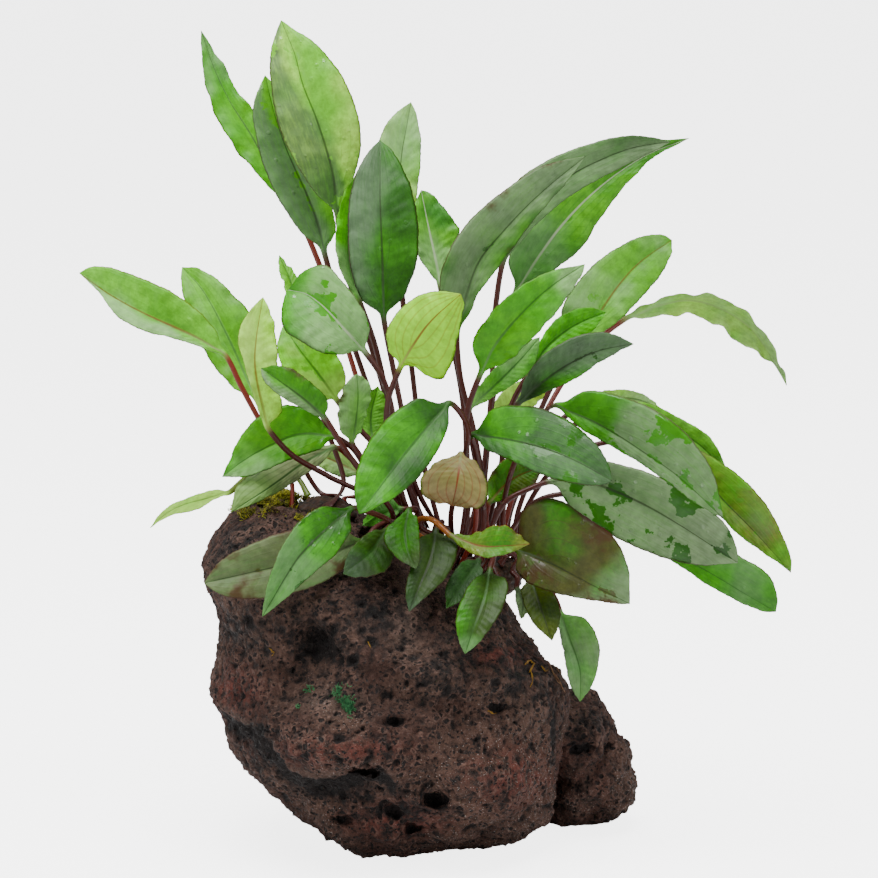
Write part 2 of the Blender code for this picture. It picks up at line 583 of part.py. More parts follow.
class Leaf:
    """The midrib and both edges of a leaf with its stalk, as lines in the front view."""

    def __init__(self, name, row, root, out):
        crown, self.colour, stalk, rib, left, right, depths, lean, fold = row
        self.name = name
        self.crown = crown
        self.slope = abs(lean) + abs(fold)
        rib2 = smooth_line([view_mm(*p) for p in rib], BLADE_LINES + 1)
        t = np.linspace(0, 1, BLADE_LINES + 1)
        first, middle, last = depths
        depth = (
            first * (2 * t - 1) * (t - 1) + middle * 4 * t * (1 - t) + last * t * (2 * t - 1)
        )
        rib3 = np.column_stack([rib2, depth])
        way = [root, root + out]
        way += [np.array([*view_mm(a, d), back]) for a, d, back in stalk]
        stalk3 = smooth_line(way + [rib3[0]], STALK_LINES + 1)
        self.rib = np.vstack([stalk3[:-1], rib3])
        sides = []
        for side, given in ((1, left), (-1, right)):
            thin = stalk3[:-1, :2] + side * STALK_RADIUS_MM * flat_normals(stalk3)[:-1]
            edge = np.vstack([thin, blade_edge(rib3, given, side)])
            reach = np.linalg.norm(edge - self.rib[:, :2], axis=1)
            onto = np.concatenate([np.zeros(STALK_LINES), np.ones(BLADE_LINES + 1)])
            back = self.rib[:, 2] - side * lean * reach * onto - fold * reach * onto
            sides.append(np.column_stack([edge, back]))
        self.left, self.right = sides
        self.root = root
        self.shift = np.zeros(len(self.rib))
        self.aside = np.zeros((len(self.rib), 2))

    def cover(self):
        """The view cells that the leaf covers, with its line number and depth in each."""
        fine = np.arange(0, len(self.rib) - 1 + 1e-9, COVER_STEP)
        low = np.minimum(fine.astype(int), len(self.rib) - 2)
        part = (fine - low)[:, None]
        left, rib, right = (
            line[low] * (1 - part) + line[low + 1] * part
            for line in (self.left, self.rib, self.right)
        )
        rows = []
        for edge in (left, right):
            reach = np.linalg.norm(edge[:, :2] - rib[:, :2], axis=1)
            past = 1 + COVER_PAST_MM / np.maximum(reach, LEAST_REACH_MM)
            for k in np.linspace(0, 1, COVER_ACROSS):
                point = rib + (edge - rib) * (k * past)[:, None]
                rows.append(np.column_stack([point, fine]))
        rows = np.vstack(rows)
        cells = np.floor(rows[:, :2] / CELL_MM).astype(int) + CELL_MIDDLE
        keys = cells[:, 0] * CELL_ROW + cells[:, 1]
        keys, first = np.unique(keys, return_index=True)
        return keys, np.rint(rows[first, 3]).astype(int), rows[first, 2]

    def half_depth(self, lines):
        """Half of the room that the leaf takes along the view at the given lines."""
        blade = (
            BLADE_HALF_THICKNESS_MM * math.hypot(1, self.slope)
            + COVER_PAST_MM * self.slope
            + BLADE_SPARE_MM
        )
        return np.where(lines < STALK_LINES, STALK_RADIUS_MM + STALK_SPARE_MM, blade)


def cell_places(keys):
    """Middles of view cells, in millimetres of the front view."""
    cells = np.column_stack([keys // CELL_ROW, keys % CELL_ROW]) - CELL_MIDDLE
    return (cells + 0.5) * CELL_MM


def crown_room(leaf, cover, side, centre):
    """What keeps a leaf in front of or behind a rootstock: its lines, room and direction."""
    keys, lines, depth = cover
    half = np.array(CROWNS[side][1]) + CROWN_LUMP_MM + CROWN_GAP_MM
    x, y, back = to_view(centre)
    cells = cell_places(keys)
    far = ((cells[:, 0] - x) / half[0]) ** 2 + ((cells[:, 1] - y) / half[2]) ** 2
    over = (far < 1) & (lines >= STALK_LINES)
    if not over.any():
        return None
    deep = half[1] * np.sqrt(1 - far[over]) + leaf.half_depth(lines[over])
    ahead = (depth[over] - back).mean() < 0
    room = back - deep - depth[over] if ahead else depth[over] - back - deep
    return lines[over], room, -1.0 if ahead else 1.0


def crossings(leaves, covers):
    """Every place where two leaves cross in the front view, part by part."""
    found = []
    for i in range(len(leaves)):
        for j in range(i + 1, len(leaves)):
            _, at_i, at_j = np.intersect1d(covers[i][0], covers[j][0], return_indices=True)
            if len(at_i) == 0:
                continue
            line_i, line_j = covers[i][1][at_i], covers[j][1][at_j]
            between = covers[j][2][at_j] - covers[i][2][at_i]
            need = leaves[i].half_depth(line_i) + leaves[j].half_depth(line_j) + LEAF_GAP_MM
            part_i, part_j = np.digitize(line_i, PART_LINES), np.digitize(line_j, PART_LINES)
            for a in (ROOT_PART, STALK_PART, BLADE_PART):
                for b in (ROOT_PART, STALK_PART, BLADE_PART):
                    one = (part_i == a) & (part_j == b)
                    near_root = ROOT_PART in (a, b) and BLADE_PART not in (a, b)
                    if near_root or not one.any():
                        continue
                    order = 1.0 if between[one].mean() > 0 else -1.0
                    row = (line_i[one], line_j[one], between[one], need[one], order)
                    found.append((i, j, *row))
    return found


def part_stalks(leaves, balls):
    """One round of pushing stalks sideways and in depth off each other and the rootstocks."""
    at = np.arange(1, STALK_LINES)
    give = np.minimum(at / 3.0, np.clip((STALK_LINES - at) / 6.0, 0, 1)).clip(0, 1)
    place = np.stack(
        [leaf.rib[at] + np.column_stack([leaf.aside[at], leaf.shift[at]]) for leaf in leaves]
    )
    count = len(leaves)
    flat = place.reshape(-1, 3)
    owner = np.repeat(np.arange(count), len(at))
    gap = flat[:, None] - flat[None]
    far = np.linalg.norm(gap, axis=2)
    short = 2 * STALK_RADIUS_MM + LEAF_GAP_MM + STALK_SPREAD_MM - far
    short[owner[:, None] == owner[None]] = 0
    near = short > 0
    push = np.zeros_like(flat)
    rows, others = np.nonzero(near)
    way = gap[rows, others] / np.maximum(far[rows, others], 1e-3)[:, None]
    np.add.at(push, rows, way * (STALK_PUSH * short[rows, others])[:, None])
    for middle, half in balls:
        offset = (flat - middle) / half
        size = np.linalg.norm(offset, axis=1)
        inside = size < 1
        out = offset[inside] * half / np.maximum(size[inside], 1e-3)[:, None]
        push[inside] += CROWN_PUSH * out * (1 - size[inside])[:, None]
    push = push.reshape(count, len(at), 3) * give[None, :, None]
    for leaf, move in zip(leaves, push):
        leaf.aside[at] += move[:, :2]
        leaf.shift[at] += move[:, 2]
        eased = (leaf.aside[at - 1] + 2 * leaf.aside[at] + leaf.aside[at + 1]) / 4
        leaf.aside[at] = eased


def settle(leaves, floor_depth, centres):
    """Moves crossing leaves apart along the view until each clears the others and the rock."""
    covers = [leaf.cover() for leaf in leaves]
    pairs = crossings(leaves, covers)
    grounds = []
    for i, (keys, lines, depth) in enumerate(covers):
        limit = floor_depth(keys)
        found = np.isfinite(limit) & (lines > OWN_CROWN_LINES)
        grounds.append((i, lines[found], limit[found] - depth[found], -1.0))
        for side, centre in centres.items():
            row = crown_room(leaves[i], covers[i], side, centre)
            if row is not None:
                grounds.append((i, *row))
    total = len(leaves[0].rib)
    hold = np.clip(np.arange(total) / 4.0, 0, 1)
    balls = []
    for side, centre in centres.items():
        half = np.array(CROWNS[side][1])[[0, 2, 1]]
        balls.append((to_view(centre), half + CROWN_LUMP_MM + STALK_RADIUS_MM + CROWN_GAP_MM))
    for _ in range(SETTLE_ROUNDS):
        part_stalks(leaves, balls)
        ahead = np.zeros((len(leaves), total))
        behind = np.zeros((len(leaves), total))
        worst = 0.0
        for i, j, line_i, line_j, between, need, order in pairs:
            gap = order * (between + leaves[j].shift[line_j] - leaves[i].shift[line_i])
            short = need - gap
            hit = short > 0
            if not hit.any():
                continue
            worst = max(worst, short.max())
            near, far = (i, j) if order > 0 else (j, i)
            near_line, far_line = (line_i, line_j) if order > 0 else (line_j, line_i)
            np.maximum.at(ahead[near], near_line[hit], short[hit])
            np.maximum.at(behind[far], far_line[hit], short[hit])
        for i, lines, room, way in grounds:
            short = -way * leaves[i].shift[lines] - room
            hit = short > 0
            np.maximum.at(ahead[i] if way < 0 else behind[i], lines[hit], 2 * short[hit])
        if worst < SETTLED_MM:
            break
        for i, leaf in enumerate(leaves):
            change = 0.5 * (behind[i] - ahead[i])
            padded = np.pad(leaf.shift + change, 2, mode="edge")
            eased = (
                padded[:-4] + 2 * padded[1:-3] + 4 * padded[2:-2] + 2 * padded[3:-1] + padded[4:]
            ) / 10
            leaf.shift = hold * eased
    for leaf in leaves:
        for line in (leaf.left, leaf.rib, leaf.right):
            line[:, :2] += leaf.aside
            line[:, 2] += leaf.shift


def leaf_rings(leaf):
    """Rings of four points, left edge, front, right edge and rear, from root to tip."""
    rings = []
    left, rib, right = (to_world(line) for line in (leaf.left, leaf.rib, leaf.right))
    run = np.gradient(rib, axis=0)
    for at in STALK_RINGS + BLADE_RINGS:
        along = run[at] / np.linalg.norm(run[at])
        across = right[at] - left[at]
        across -= along * (across @ along)
        across /= np.linalg.norm(across)
        normal = np.cross(across, along)
        if at < STALK_LINES:
            half = STALK_RADIUS_MM
            ends = (rib[at] - across * half, rib[at] + across * half)
        else:
            fade = (at - STALK_LINES) / STALK_FADE_LINES
            half = max(BLADE_HALF_THICKNESS_MM, STALK_RADIUS_MM * (1 - fade))
            ends = (left[at], right[at])
        rings.append([ends[0], rib[at] + normal * half, ends[1], rib[at] - normal * half])
    return rings, rib[-1]


def material(name, colour, roughness):
    """A plain finish: one colour and one roughness, not metallic."""
    made = bpy.data.materials.new(name)
    made.use_nodes = True
    shader = made.node_tree.nodes["Principled BSDF"]
    shader.inputs["Base Color"].default_value = colour
    shader.inputs["Roughness"].default_value = roughness
    shader.inputs["Metallic"].default_value = 0.0
    made.diffuse_color = colour
    return made


def add_object(name, bm, collection, look):
    """Turns a bmesh into a smooth-shaded object with its faces pointing outwards."""
    bmesh.ops.recalc_face_normals(bm, faces=bm.faces)
    mesh = bpy.data.meshes.new(name)
    bm.to_mesh(mesh)
    bm.free()
    for face in mesh.polygons:
        face.use_smooth = True
    mesh.materials.append(look)
    made = bpy.data.objects.new(name, mesh)
    collection.objects.link(made)
    return made


def make_leaf(leaf, collection, look):
    """Lofts the rings of one leaf into a closed body with a flat root and a pointed tip."""
    rings, tip = leaf_rings(leaf)
    bm = bmesh.new()
    loops = [[bm.verts.new(Vector(p) / 1000) for p in ring] for ring in rings]
    point = bm.verts.new(Vector(tip) / 1000)
    bm.faces.new(loops[0])
    for low, high in zip(loops, loops[1:]):
        for k in range(4):
            bm.faces.new((low[k], low[(k + 1) % 4], high[(k + 1) % 4], high[k]))
    for k in range(4):
        bm.faces.new((loops[-1][k], loops[-1][(k + 1) % 4], point))
    return add_object(leaf.name, bm, collection, look)


def layer_points(layer):
    """One tilted layer of the rock as a closed line of points in millimetres."""
    left, right, front, back = layer
    x0, y0 = view_mm(*left)
    x1, y1 = view_mm(*right)
    power = 2 / ROCK_SQUARENESS
    points = []
    for k in range(ROCK_AROUND):
        turn = 2 * math.pi * k / ROCK_AROUND
        c, s = math.cos(turn), math.sin(turn)
        along = math.copysign(abs(c) ** power, c)
        deep = math.copysign(abs(s) ** power, s)
        x = (x0 + x1) / 2 + along * (x1 - x0) / 2
        high = (y0 + y1) / 2 + along * (y1 - y0) / 2
        y = deep * (back if s > 0 else front)
        z = VIEW_TARGET_MM[2] + (high + VIEW_TARGET_MM[1] * math.sin(VIEW_TILT)) / UP[2]
        points.append(Vector((x + VIEW_TARGET_MM[0], y, z)))
    return points


def swell(point, normal):
    """Where a point of the rock's front goes with the swellings and hollows."""
    seen = to_view(point)
    moved = Vector(point)
    facing = max(0.0, -normal.y)
    for place, radius, out in ROCK_SWELLS:
        x, y = view_mm(*place)
        near = ((seen[0] - x) ** 2 + (seen[1] - y) ** 2) / radius**2
        if near < 4 and seen[2] < ROCK_FRONT_MM:
            moved += Vector((0.0, -1.0, 0.0)) * (out * math.exp(-2 * near) * facing)
    return moved


def rough(point, normal, calm):
    """Lumps and grit of the rock's skin."""
    high, wide, where = ROCK_LUMPS
    out = high * noise.fractal(point / wide + where, 0.9, 2.0, 3)
    high, wide, where = ROCK_KNOBS
    out += high * (abs(noise.noise(point / wide + where)) * 2 - 0.5)
    high, wide, where = ROCK_GRIT
    out += high * noise.noise(point / wide + where)
    return point + normal * (calm * out)


def rock_body(collection, look):
    """Main body: a loft through the tilted layers, closed by a flat foot and a rounded top."""
    bm = bmesh.new()
    loops = [[bm.verts.new(p) for p in layer_points(layer)] for layer in ROCK_LAYERS]
    for low, high in zip(loops, loops[1:]):
        for k in range(ROCK_AROUND):
            j = (k + 1) % ROCK_AROUND
            bm.faces.new((low[k], low[j], high[j], high[k]))
    top = loops[0]
    centre = sum((v.co for v in top), Vector()) / ROCK_AROUND
    for inset in ROCK_TOP_INSETS:
        ring = [bm.verts.new(centre + (v.co - centre) * inset) for v in loops[0]]
        for k in range(ROCK_AROUND):
            j = (k + 1) % ROCK_AROUND
            bm.faces.new((ring[k], ring[j], top[j], top[k]))
        top = ring
    bm.faces.new(top)
    foot = [bm.verts.new((p.x, p.y, 0.0)) for p in layer_points(ROCK_FOOT)]
    for k in range(ROCK_AROUND):
        j = (k + 1) % ROCK_AROUND
        bm.faces.new((loops[-1][k], loops[-1][j], foot[j], foot[k]))
    bm.faces.new(foot)
    bmesh.ops.recalc_face_normals(bm, faces=bm.faces)
    bm.normal_update()
    free = [v for v in bm.verts if v not in foot and v not in loops[-1]]
    for _ in range(2):
        bmesh.ops.smooth_vert(bm, verts=free, factor=ROCK_EASE, use_axis_x=True, use_axis_y=True,
                              use_axis_z=True)
    bm.normal_update()
    moves = {}
    for v in bm.verts:
        if v in foot:
            continue
        calm = 1.0 - ROCK_SIDE_CALM * abs(v.normal.x)
        moves[v] = rough(swell(v.co, v.normal), v.normal, calm)
    for v, place in moves.items():
        v.co = place
        v.co.z = max(v.co.z, FOOT_CLEAR_MM)
    bmesh.ops.scale(bm, vec=(0.001, 0.001, 0.001), verts=bm.verts)
    return add_object("rock", bm, collection, look)


def rough_ball(name, shape, detail, cutters):
    """A rough ball: a lump of the right-hand lobe, or the notch in the rim of a hollow."""
    (across, down, depth), half = shape
    centre = Vector(to_world((*view_mm(across, down), depth)))
    bm = bmesh.new()
    bmesh.ops.create_icosphere(bm, subdivisions=detail, radius=1.0)
    for v in bm.verts:
        normal = v.co.normalized()
        place = centre + Vector(v.co[k] * half[k] for k in range(3))
        v.co = rough(place, normal, LOBE_CALM)
        v.co.z = max(v.co.z, FOOT_CLEAR_MM)
    bmesh.ops.scale(bm, vec=(0.001, 0.001, 0.001), verts=bm.verts)
    return add_object(f"cutter_{name}", bm, cutters, None)


def pit_cutter(number, pit, surface, cutters):
    """A lumpy ball set into the rock's front where a pit opens."""
    place, half_width, half_height, deep = pit
    x, y = view_mm(*place)
    hit = first_hit(surface, x, y)
    bm = bmesh.new()
    bmesh.ops.create_icosphere(bm, subdivisions=2, radius=1.0)
    for v in bm.verts:
        size = 1.0 + 0.25 * noise.noise(v.co * 1.7 + Vector((number * 3.0, 0.0, 0.0)))
        v.co = hit + size * Vector((v.co.x * half_width, v.co.y * deep, v.co.z * half_height))
    bmesh.ops.scale(bm, vec=(0.001, 0.001, 0.001), verts=bm.verts)
    return add_object(f"cutter_pit_{number}", bm, cutters, None)


def crown_centre(side):
    """Middle of a rootstock, in millimetres of the world."""
    (across, down, depth), _ = CROWNS[side]
    return Vector(to_world((*view_mm(across, down), depth)))


def crown_shape(side, centre, grow=0.0):
    """A rootstock as a bmesh in metres, grown outwards by the given amount."""
    half = CROWNS[side][1]
    bm = bmesh.new()
    bmesh.ops.create_icosphere(bm, subdivisions=2, radius=1.0)
    bmesh.ops.subdivide_edges(bm, edges=[e for e in bm.edges if e.verts[0].co.z > 0.2], cuts=1,
                              use_grid_fill=True)
    for v in bm.verts:
        lump = CROWN_LUMP_MM * noise.noise(v.co * 2.6 + Vector((centre.x, 0.0, 0.0)))
        unit = v.co.normalized()
        v.co = centre + Vector(unit[k] * (half[k] + lump + grow) for k in range(3))
    bmesh.ops.triangulate(bm, faces=bm.faces)
    bmesh.ops.scale(bm, vec=(0.001, 0.001, 0.001), verts=bm.verts)
    return bm


def first_hit(surface, x, y):
    """Where the line of sight through a place in the front view first meets a surface, in mm."""
    eye = VIEW_TARGET_MM - AWAY * VIEW_DISTANCE_MM
    aim = to_world((x, y, 0.0)) - eye
    found = surface.ray_cast(Vector(eye) / 1000, Vector(aim).normalized())
    return None if found[0] is None else found[0] * 1000


def cut(target, tool, operation):
    """Joins a tool to a body or takes it away, with the result kept as the body's mesh."""
    step = target.modifiers.new(tool.name, "BOOLEAN")
    step.operation = operation
    step.solver = "EXACT"
    step.object = tool
    graph = bpy.context.evaluated_depsgraph_get()
    shaped = bpy.data.meshes.new_from_object(target.evaluated_get(graph))
    target.modifiers.remove(step)
    target.data = shaped


def tidy(target):
    """Merges the points that the cuts leave closer together than anyone could see."""
    bm = bmesh.new()
    bm.from_mesh(target.data)
    bmesh.ops.remove_doubles(bm, verts=bm.verts, dist=MERGE_MM / 1000)
    bmesh.ops.triangulate(bm, faces=bm.faces)
    bm.to_mesh(target.data)
    bm.free()


def make_moss(rock, centre, collection, look):
    """A low pad over the rock's top left edge: a lifted copy of its skin, made solid."""
    (x0, x1), (y0, y1) = MOSS_REACH
    room = np.array(CROWNS["left"][1]) + MOSS_CROWN_ROOM_MM
    left, top = view_mm(x0, y0)
    right, bottom = view_mm(x1, y1)
    bm = bmesh.new()
    bm.from_mesh(rock.data)
    bm.normal_update()
    keep = []
    for face in bm.faces:
        middle = face.calc_center_median() * 1000
        seen = to_view(middle)
        inside = left < seen[0] < right and bottom < seen[1] < top
        beside = np.linalg.norm((np.array(middle) - np.array(centre)) / room) > 1
        if inside and beside and face.normal.z > MOSS_LEVEL and seen[2] > MOSS_FRONT_MM:
            keep.append(face)
    bmesh.ops.delete(bm, geom=[f for f in bm.faces if f not in keep], context="FACES")
    bm.normal_update()
    for v in bm.verts:
        v.co += v.normal * MOSS_GAP_MM / 1000
    bmesh.ops.solidify(bm, geom=list(bm.faces), thickness=-MOSS_THICK_MM / 1000)
    return add_object("moss_pad", bm, collection, look)


def root_places(centres):
    """Root and outward way of every leaf, spread over the upper side of its rootstock."""
    places = {}
    for side, (_, half) in CROWNS.items():
        names = [n for n, row in LEAVES.items() if row[0] == side]
        centre = np.array(centres[side])
        spots = []
        for k in range(len(names)):
            high = 1.0 - ROOT_SPREAD * (k + 0.5) / len(names)
            turn = k * math.pi * (3 - math.sqrt(5))
            flat = math.sqrt(1 - high**2)
            spots.append(np.array([flat * math.cos(turn), flat * math.sin(turn), high]))
        wishes = {}
        for name in names:
            first = LEAVES[name][2][0]
            aim = to_world((*view_mm(*first[:2]), first[2])) - centre
            aim = aim / np.array(half)
            wishes[name] = aim / np.linalg.norm(aim)
        order = list(range(len(names)))
        cost = np.array([[((wishes[n] - spot) ** 2).sum() for spot in spots] for n in names])
        better = True
        while better:
            better = False
            for i in range(len(names)):
                for j in range(i + 1, len(names)):
                    now = cost[i, order[i]] + cost[j, order[j]]
                    if cost[i, order[j]] + cost[j, order[i]] < now - 1e-9:
                        order[i], order[j] = order[j], order[i]
                        better = True
        for name, spot in zip(names, order):
            unit = spots[spot]
            away = unit * np.array(half) + unit * (CROWN_LUMP_MM + CROWN_GAP_MM)
            root = to_view(centre + away)
            out = to_view(centre + away * 1.2 + np.array([0, 0, ROOT_RISE_MM])) - root
            places[name] = (root, out)
    return places


def start():
    """Empties the scene and makes the two collections."""
    for old in list(bpy.data.objects):
        bpy.data.objects.remove(old, do_unlink=True)
    made = bpy.data.collections.new("cryptocoryne_on_lava_rock")
    cutters = bpy.data.collections.new("cutters")
    bpy.context.scene.collection.children.link(made)
    bpy.context.scene.collection.children.link(cutters)
    return made, cutters


def surface_of(target, grow=0.0):
    """A body's skin for lines of sight, moved outwards by the given millimetres."""
    bm = bmesh.new()
    bm.from_mesh(target.data)
    bm.normal_update()
    for v in bm.verts:
        v.co += v.normal * grow / 1000
    tree = BVHTree.FromBMesh(bm)
    bm.free()
    return tree


def main():
    made, cutters = start()
    stone = material(*STONE)
    rock = rock_body(made, stone)
    centres = {side: crown_centre(side) for side in CROWNS}
    make_moss(rock, centres["left"], made, material(*MOSS))
    for number, lobe in enumerate(LOBES):
        cut(rock, rough_ball(f"lobe_{number}", lobe, LOBE_DETAIL, cutters), "UNION")
    surface = surface_of(rock)
    for side, centre in centres.items():
        raised = centre + Vector((0.0, 0.0, HOLLOW_ROOM_MM - CROWN_GAP_MM))
        hollow = crown_shape(side, raised, HOLLOW_ROOM_MM)
        cut(rock, add_object(f"cutter_hollow_{side}", hollow, cutters, None), "DIFFERENCE")
    cut(rock, rough_ball("notch", RIM_NOTCH, NOTCH_DETAIL, cutters), "DIFFERENCE")
    swollen = surface_of(rock, ROCK_CLEAR_MM)

    def floor_depth(keys):
        """Depth of the rock's skin behind each view cell, endless where there is none."""
        depths = np.full(len(keys), np.inf)
        for k, (x, y) in enumerate(cell_places(keys)):
            hit = first_hit(swollen, x, y)
            if hit is not None:
                depths[k] = to_view(hit)[2]
        return depths

    places = root_places(centres)
    leaves = [Leaf(name, row, *places[name]) for name, row in LEAVES.items()]
    settle(leaves, floor_depth, centres)
    looks = {n: material(f"leaf_{n}", c, LEAF_ROUGHNESS) for n, c in LEAF_GREENS.items()}
    for leaf in leaves:
        make_leaf(leaf, made, looks[leaf.colour])
    flesh = material(*ROOTSTOCK)
    for number, pit in enumerate(ROCK_PITS):
        cut(rock, pit_cutter(number, pit, surface, cutters), "DIFFERENCE")
    for side, centre in centres.items():
        add_object(f"crown_{side}", crown_shape(side, centre), made, flesh)
    tidy(rock)
    for cutter in cutters.objects:
        cutter.hide_render = True
        cutter.display_type = "WIRE"


main()
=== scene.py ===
# %% [markdown]
# # A cryptocoryne clump on lava rock
#
# The solids of this plant are plain: every leaf is a thin wedge lofted through a dozen
# rings, and the rock is a lumpy body. This lesson dresses them. Each leaf becomes a thin
# living sheet with a midrib, arching veins and a wavy margin, and the rock gets the open
# pores and the crust of lava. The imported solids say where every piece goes, and places in
# the picture say where the marks on the rock and its small growths are.

import itertools
import math
import random
from types import SimpleNamespace

import bmesh
import bpy
import numpy as np
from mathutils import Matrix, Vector, noise
from mathutils.bvhtree import BVHTree


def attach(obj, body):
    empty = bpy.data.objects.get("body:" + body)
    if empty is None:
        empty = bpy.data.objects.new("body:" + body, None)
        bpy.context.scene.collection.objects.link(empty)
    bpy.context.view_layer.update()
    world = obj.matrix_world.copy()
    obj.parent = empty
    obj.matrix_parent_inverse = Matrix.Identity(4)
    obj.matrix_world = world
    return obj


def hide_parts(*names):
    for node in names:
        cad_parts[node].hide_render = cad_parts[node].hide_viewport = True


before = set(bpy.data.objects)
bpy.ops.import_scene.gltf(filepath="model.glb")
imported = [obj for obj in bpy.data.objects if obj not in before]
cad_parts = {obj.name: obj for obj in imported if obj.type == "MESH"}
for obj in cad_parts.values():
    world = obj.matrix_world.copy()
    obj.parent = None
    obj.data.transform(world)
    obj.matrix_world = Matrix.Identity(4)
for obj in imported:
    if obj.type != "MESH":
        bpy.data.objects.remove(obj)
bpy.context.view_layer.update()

# %% [markdown]
# ## The camera
#
# A long lens from a little over a metre away looks down on the clump by a few degrees. It
# is placed by its aim point, its tilt and its distance, and the lens follows from how wide
# the picture is at the aim point: each of its 878 steps is a quarter of a millimetre there.
# The same numbers give a helper that turns a place in the picture into a place in the
# scene, for the marks on the rock.

# %% Camera
PICTURE_STEPS = 878
STEP = 0.00025
TILT = math.radians(8.5)
AIM = Vector((0.0035, 0.0055, 0.1008))
DISTANCE = 1.2
RIGHT = Vector((1.0, 0.0, 0.0))
AWAY = Vector((0.0, math.cos(TILT), -math.sin(TILT)))
UP = Vector((0.0, math.sin(TILT), math.cos(TILT)))
EYE = AIM - AWAY * DISTANCE


def spot(across, down, depth_mm=0.0):
    """The place in the scene seen at a place in the picture, that far behind the aim point."""
    middle = PICTURE_STEPS / 2
    spread = 1 + depth_mm / 1000 / DISTANCE
    side = (across - middle) * STEP * spread
    high = (middle - down) * STEP * spread
    return AIM + RIGHT * side + UP * high + AWAY * (depth_mm / 1000)


def shown(name, data):
    """A new object that is in the scene."""
    made = bpy.data.objects.new(name, data)
    bpy.context.scene.collection.objects.link(made)
    return made


lens = bpy.data.cameras.new("view")
lens.sensor_width = 36.0
lens.lens = lens.sensor_width * DISTANCE / (PICTURE_STEPS * STEP)
lens.clip_start = 0.05
camera = shown("view", lens)
camera.location = EYE
camera.rotation_euler = (math.pi / 2 - TILT, 0.0, 0.0)
bpy.context.scene.camera = camera
print("lens", round(lens.lens, 1), "mm")

# %% [markdown]
# ## A few tools for node trees
#
# Every finish below is built from nodes. These helpers add a node, join two sockets and
# write a sum or a product in one line, so a tree reads like the formula it stands for.
# Colours are written as they look on a screen, from 0 to 255, and turned to the linear
# numbers that a shader works with.

# %% Node tree
NUMBER, COLOUR = "NodeSocketFloat", "NodeSocketColor"


def tone(red, green, blue):
    """A screen colour as the linear colour a shader takes."""
    linear = [
        c / 255 / 12.92 if c / 255 <= 0.04045 else ((c / 255 + 0.055) / 1.055) ** 2.4
        for c in (red, green, blue)
    ]
    return (*linear, 1.0)


class Tree:
    """A node tree with short ways to add nodes and to write formulas."""

    def __init__(self, tree):
        self.tree = tree

    def add(self, kind, **settings):
        node = self.tree.nodes.new(kind)
        for key, value in settings.items():
            setattr(node, key, value)
        return node

    def put(self, socket, value):
        if isinstance(value, bpy.types.NodeSocket):
            self.tree.links.new(value, socket)
        else:
            socket.default_value = value

    def math(self, operation, *values):
        node = self.add("ShaderNodeMath", operation=operation)
        for socket, value in zip(node.inputs, values):
            self.put(socket, value)
        return node.outputs[0]

    def times(self, first, second):
        return self.math("MULTIPLY", first, second)

    def times_plus(self, first, second, third):
        """First times second, plus third."""
        return self.math("MULTIPLY_ADD", first, second, third)

    def less(self, first, second):
        return self.math("SUBTRACT", first, second)

    def larger(self, first, second):
        return self.math("MAXIMUM", first, second)

    def ramp(self, value, low, high, start=0.0, end=1.0):
        """Eases from start to end as value goes from low to high."""
        node = self.add("ShaderNodeMapRange", interpolation_type="SMOOTHSTEP")
        for name, given in (
            ("Value", value), ("From Min", low), ("From Max", high),
            ("To Min", start), ("To Max", end),
        ):
            self.put(node.inputs[name], given)
        return node.outputs["Result"]

    def mix(self, amount, first, second):
        node = self.add("ShaderNodeMix", data_type="RGBA", blend_type="MIX")
        self.put(node.inputs[0], amount)
        self.put(node.inputs[6], first)
        self.put(node.inputs[7], second)
        return node.outputs[2]

    def layers(self, colour, coats):
        """Mixes one coat after another over a colour. A coat is an amount and its colour."""
        for amount, over in coats:
            colour = self.mix(amount, colour, over)
        return colour

    def scaled(self, vector, amount):
        node = self.add("ShaderNodeVectorMath", operation="SCALE")
        self.put(node.inputs[0], vector)
        self.put(node.inputs["Scale"], amount)
        return node.outputs[0]

    def noise(self, place, scale, detail=3.0, rough=0.5, output="Fac"):
        node = self.add("ShaderNodeTexNoise")
        self.put(node.inputs["Vector"], place)
        self.put(node.inputs["Scale"], scale)
        self.put(node.inputs["Detail"], detail)
        self.put(node.inputs["Roughness"], rough)
        return node.outputs[output]

    def cells(self, place, scale, feature="F1"):
        node = self.add("ShaderNodeTexVoronoi", feature=feature)
        self.put(node.inputs["Vector"], place)
        self.put(node.inputs["Scale"], scale)
        return node.outputs["Distance"]

    def place(self):
        return self.add("ShaderNodeTexCoord").outputs["Object"]

    def field(self, label):
        """What the mesh keeps under this name at each point."""
        return self.add("ShaderNodeAttribute", attribute_name=label).outputs["Fac"]


def new_group(name, inputs, outputs):
    """A shader node group with named sockets, and the tree and both ends to build it with."""
    group = bpy.data.node_groups.new(name, "ShaderNodeTree")
    for label, kind, value in inputs:
        socket = group.interface.new_socket(label, in_out="INPUT", socket_type=kind)
        if value is not None:
            socket.default_value = value
    for label, kind in outputs:
        group.interface.new_socket(label, in_out="OUTPUT", socket_type=kind)
    tree = Tree(group)
    return group, tree, tree.add("NodeGroupInput").outputs, tree.add("NodeGroupOutput").inputs


def new_finish(name):
    """A material, the tree to build it with, and its shader."""
    made = bpy.data.materials.new(name)
    made.use_nodes = True
    return made, Tree(made.node_tree), made.node_tree.nodes["Principled BSDF"]


def put_bump(tree, shader, height, strength, distance):
    """Relief that the shader shows without moving the mesh."""
    bump = tree.add("ShaderNodeBump")
    bump.inputs["Strength"].default_value = strength
    bump.inputs["Distance"].default_value = distance
    tree.put(bump.inputs["Height"], height)
    tree.put(shader.inputs["Normal"], bump.outputs["Normal"])


print("a mid grey is", round(tone(128, 128, 128)[0], 3), "in a shader")

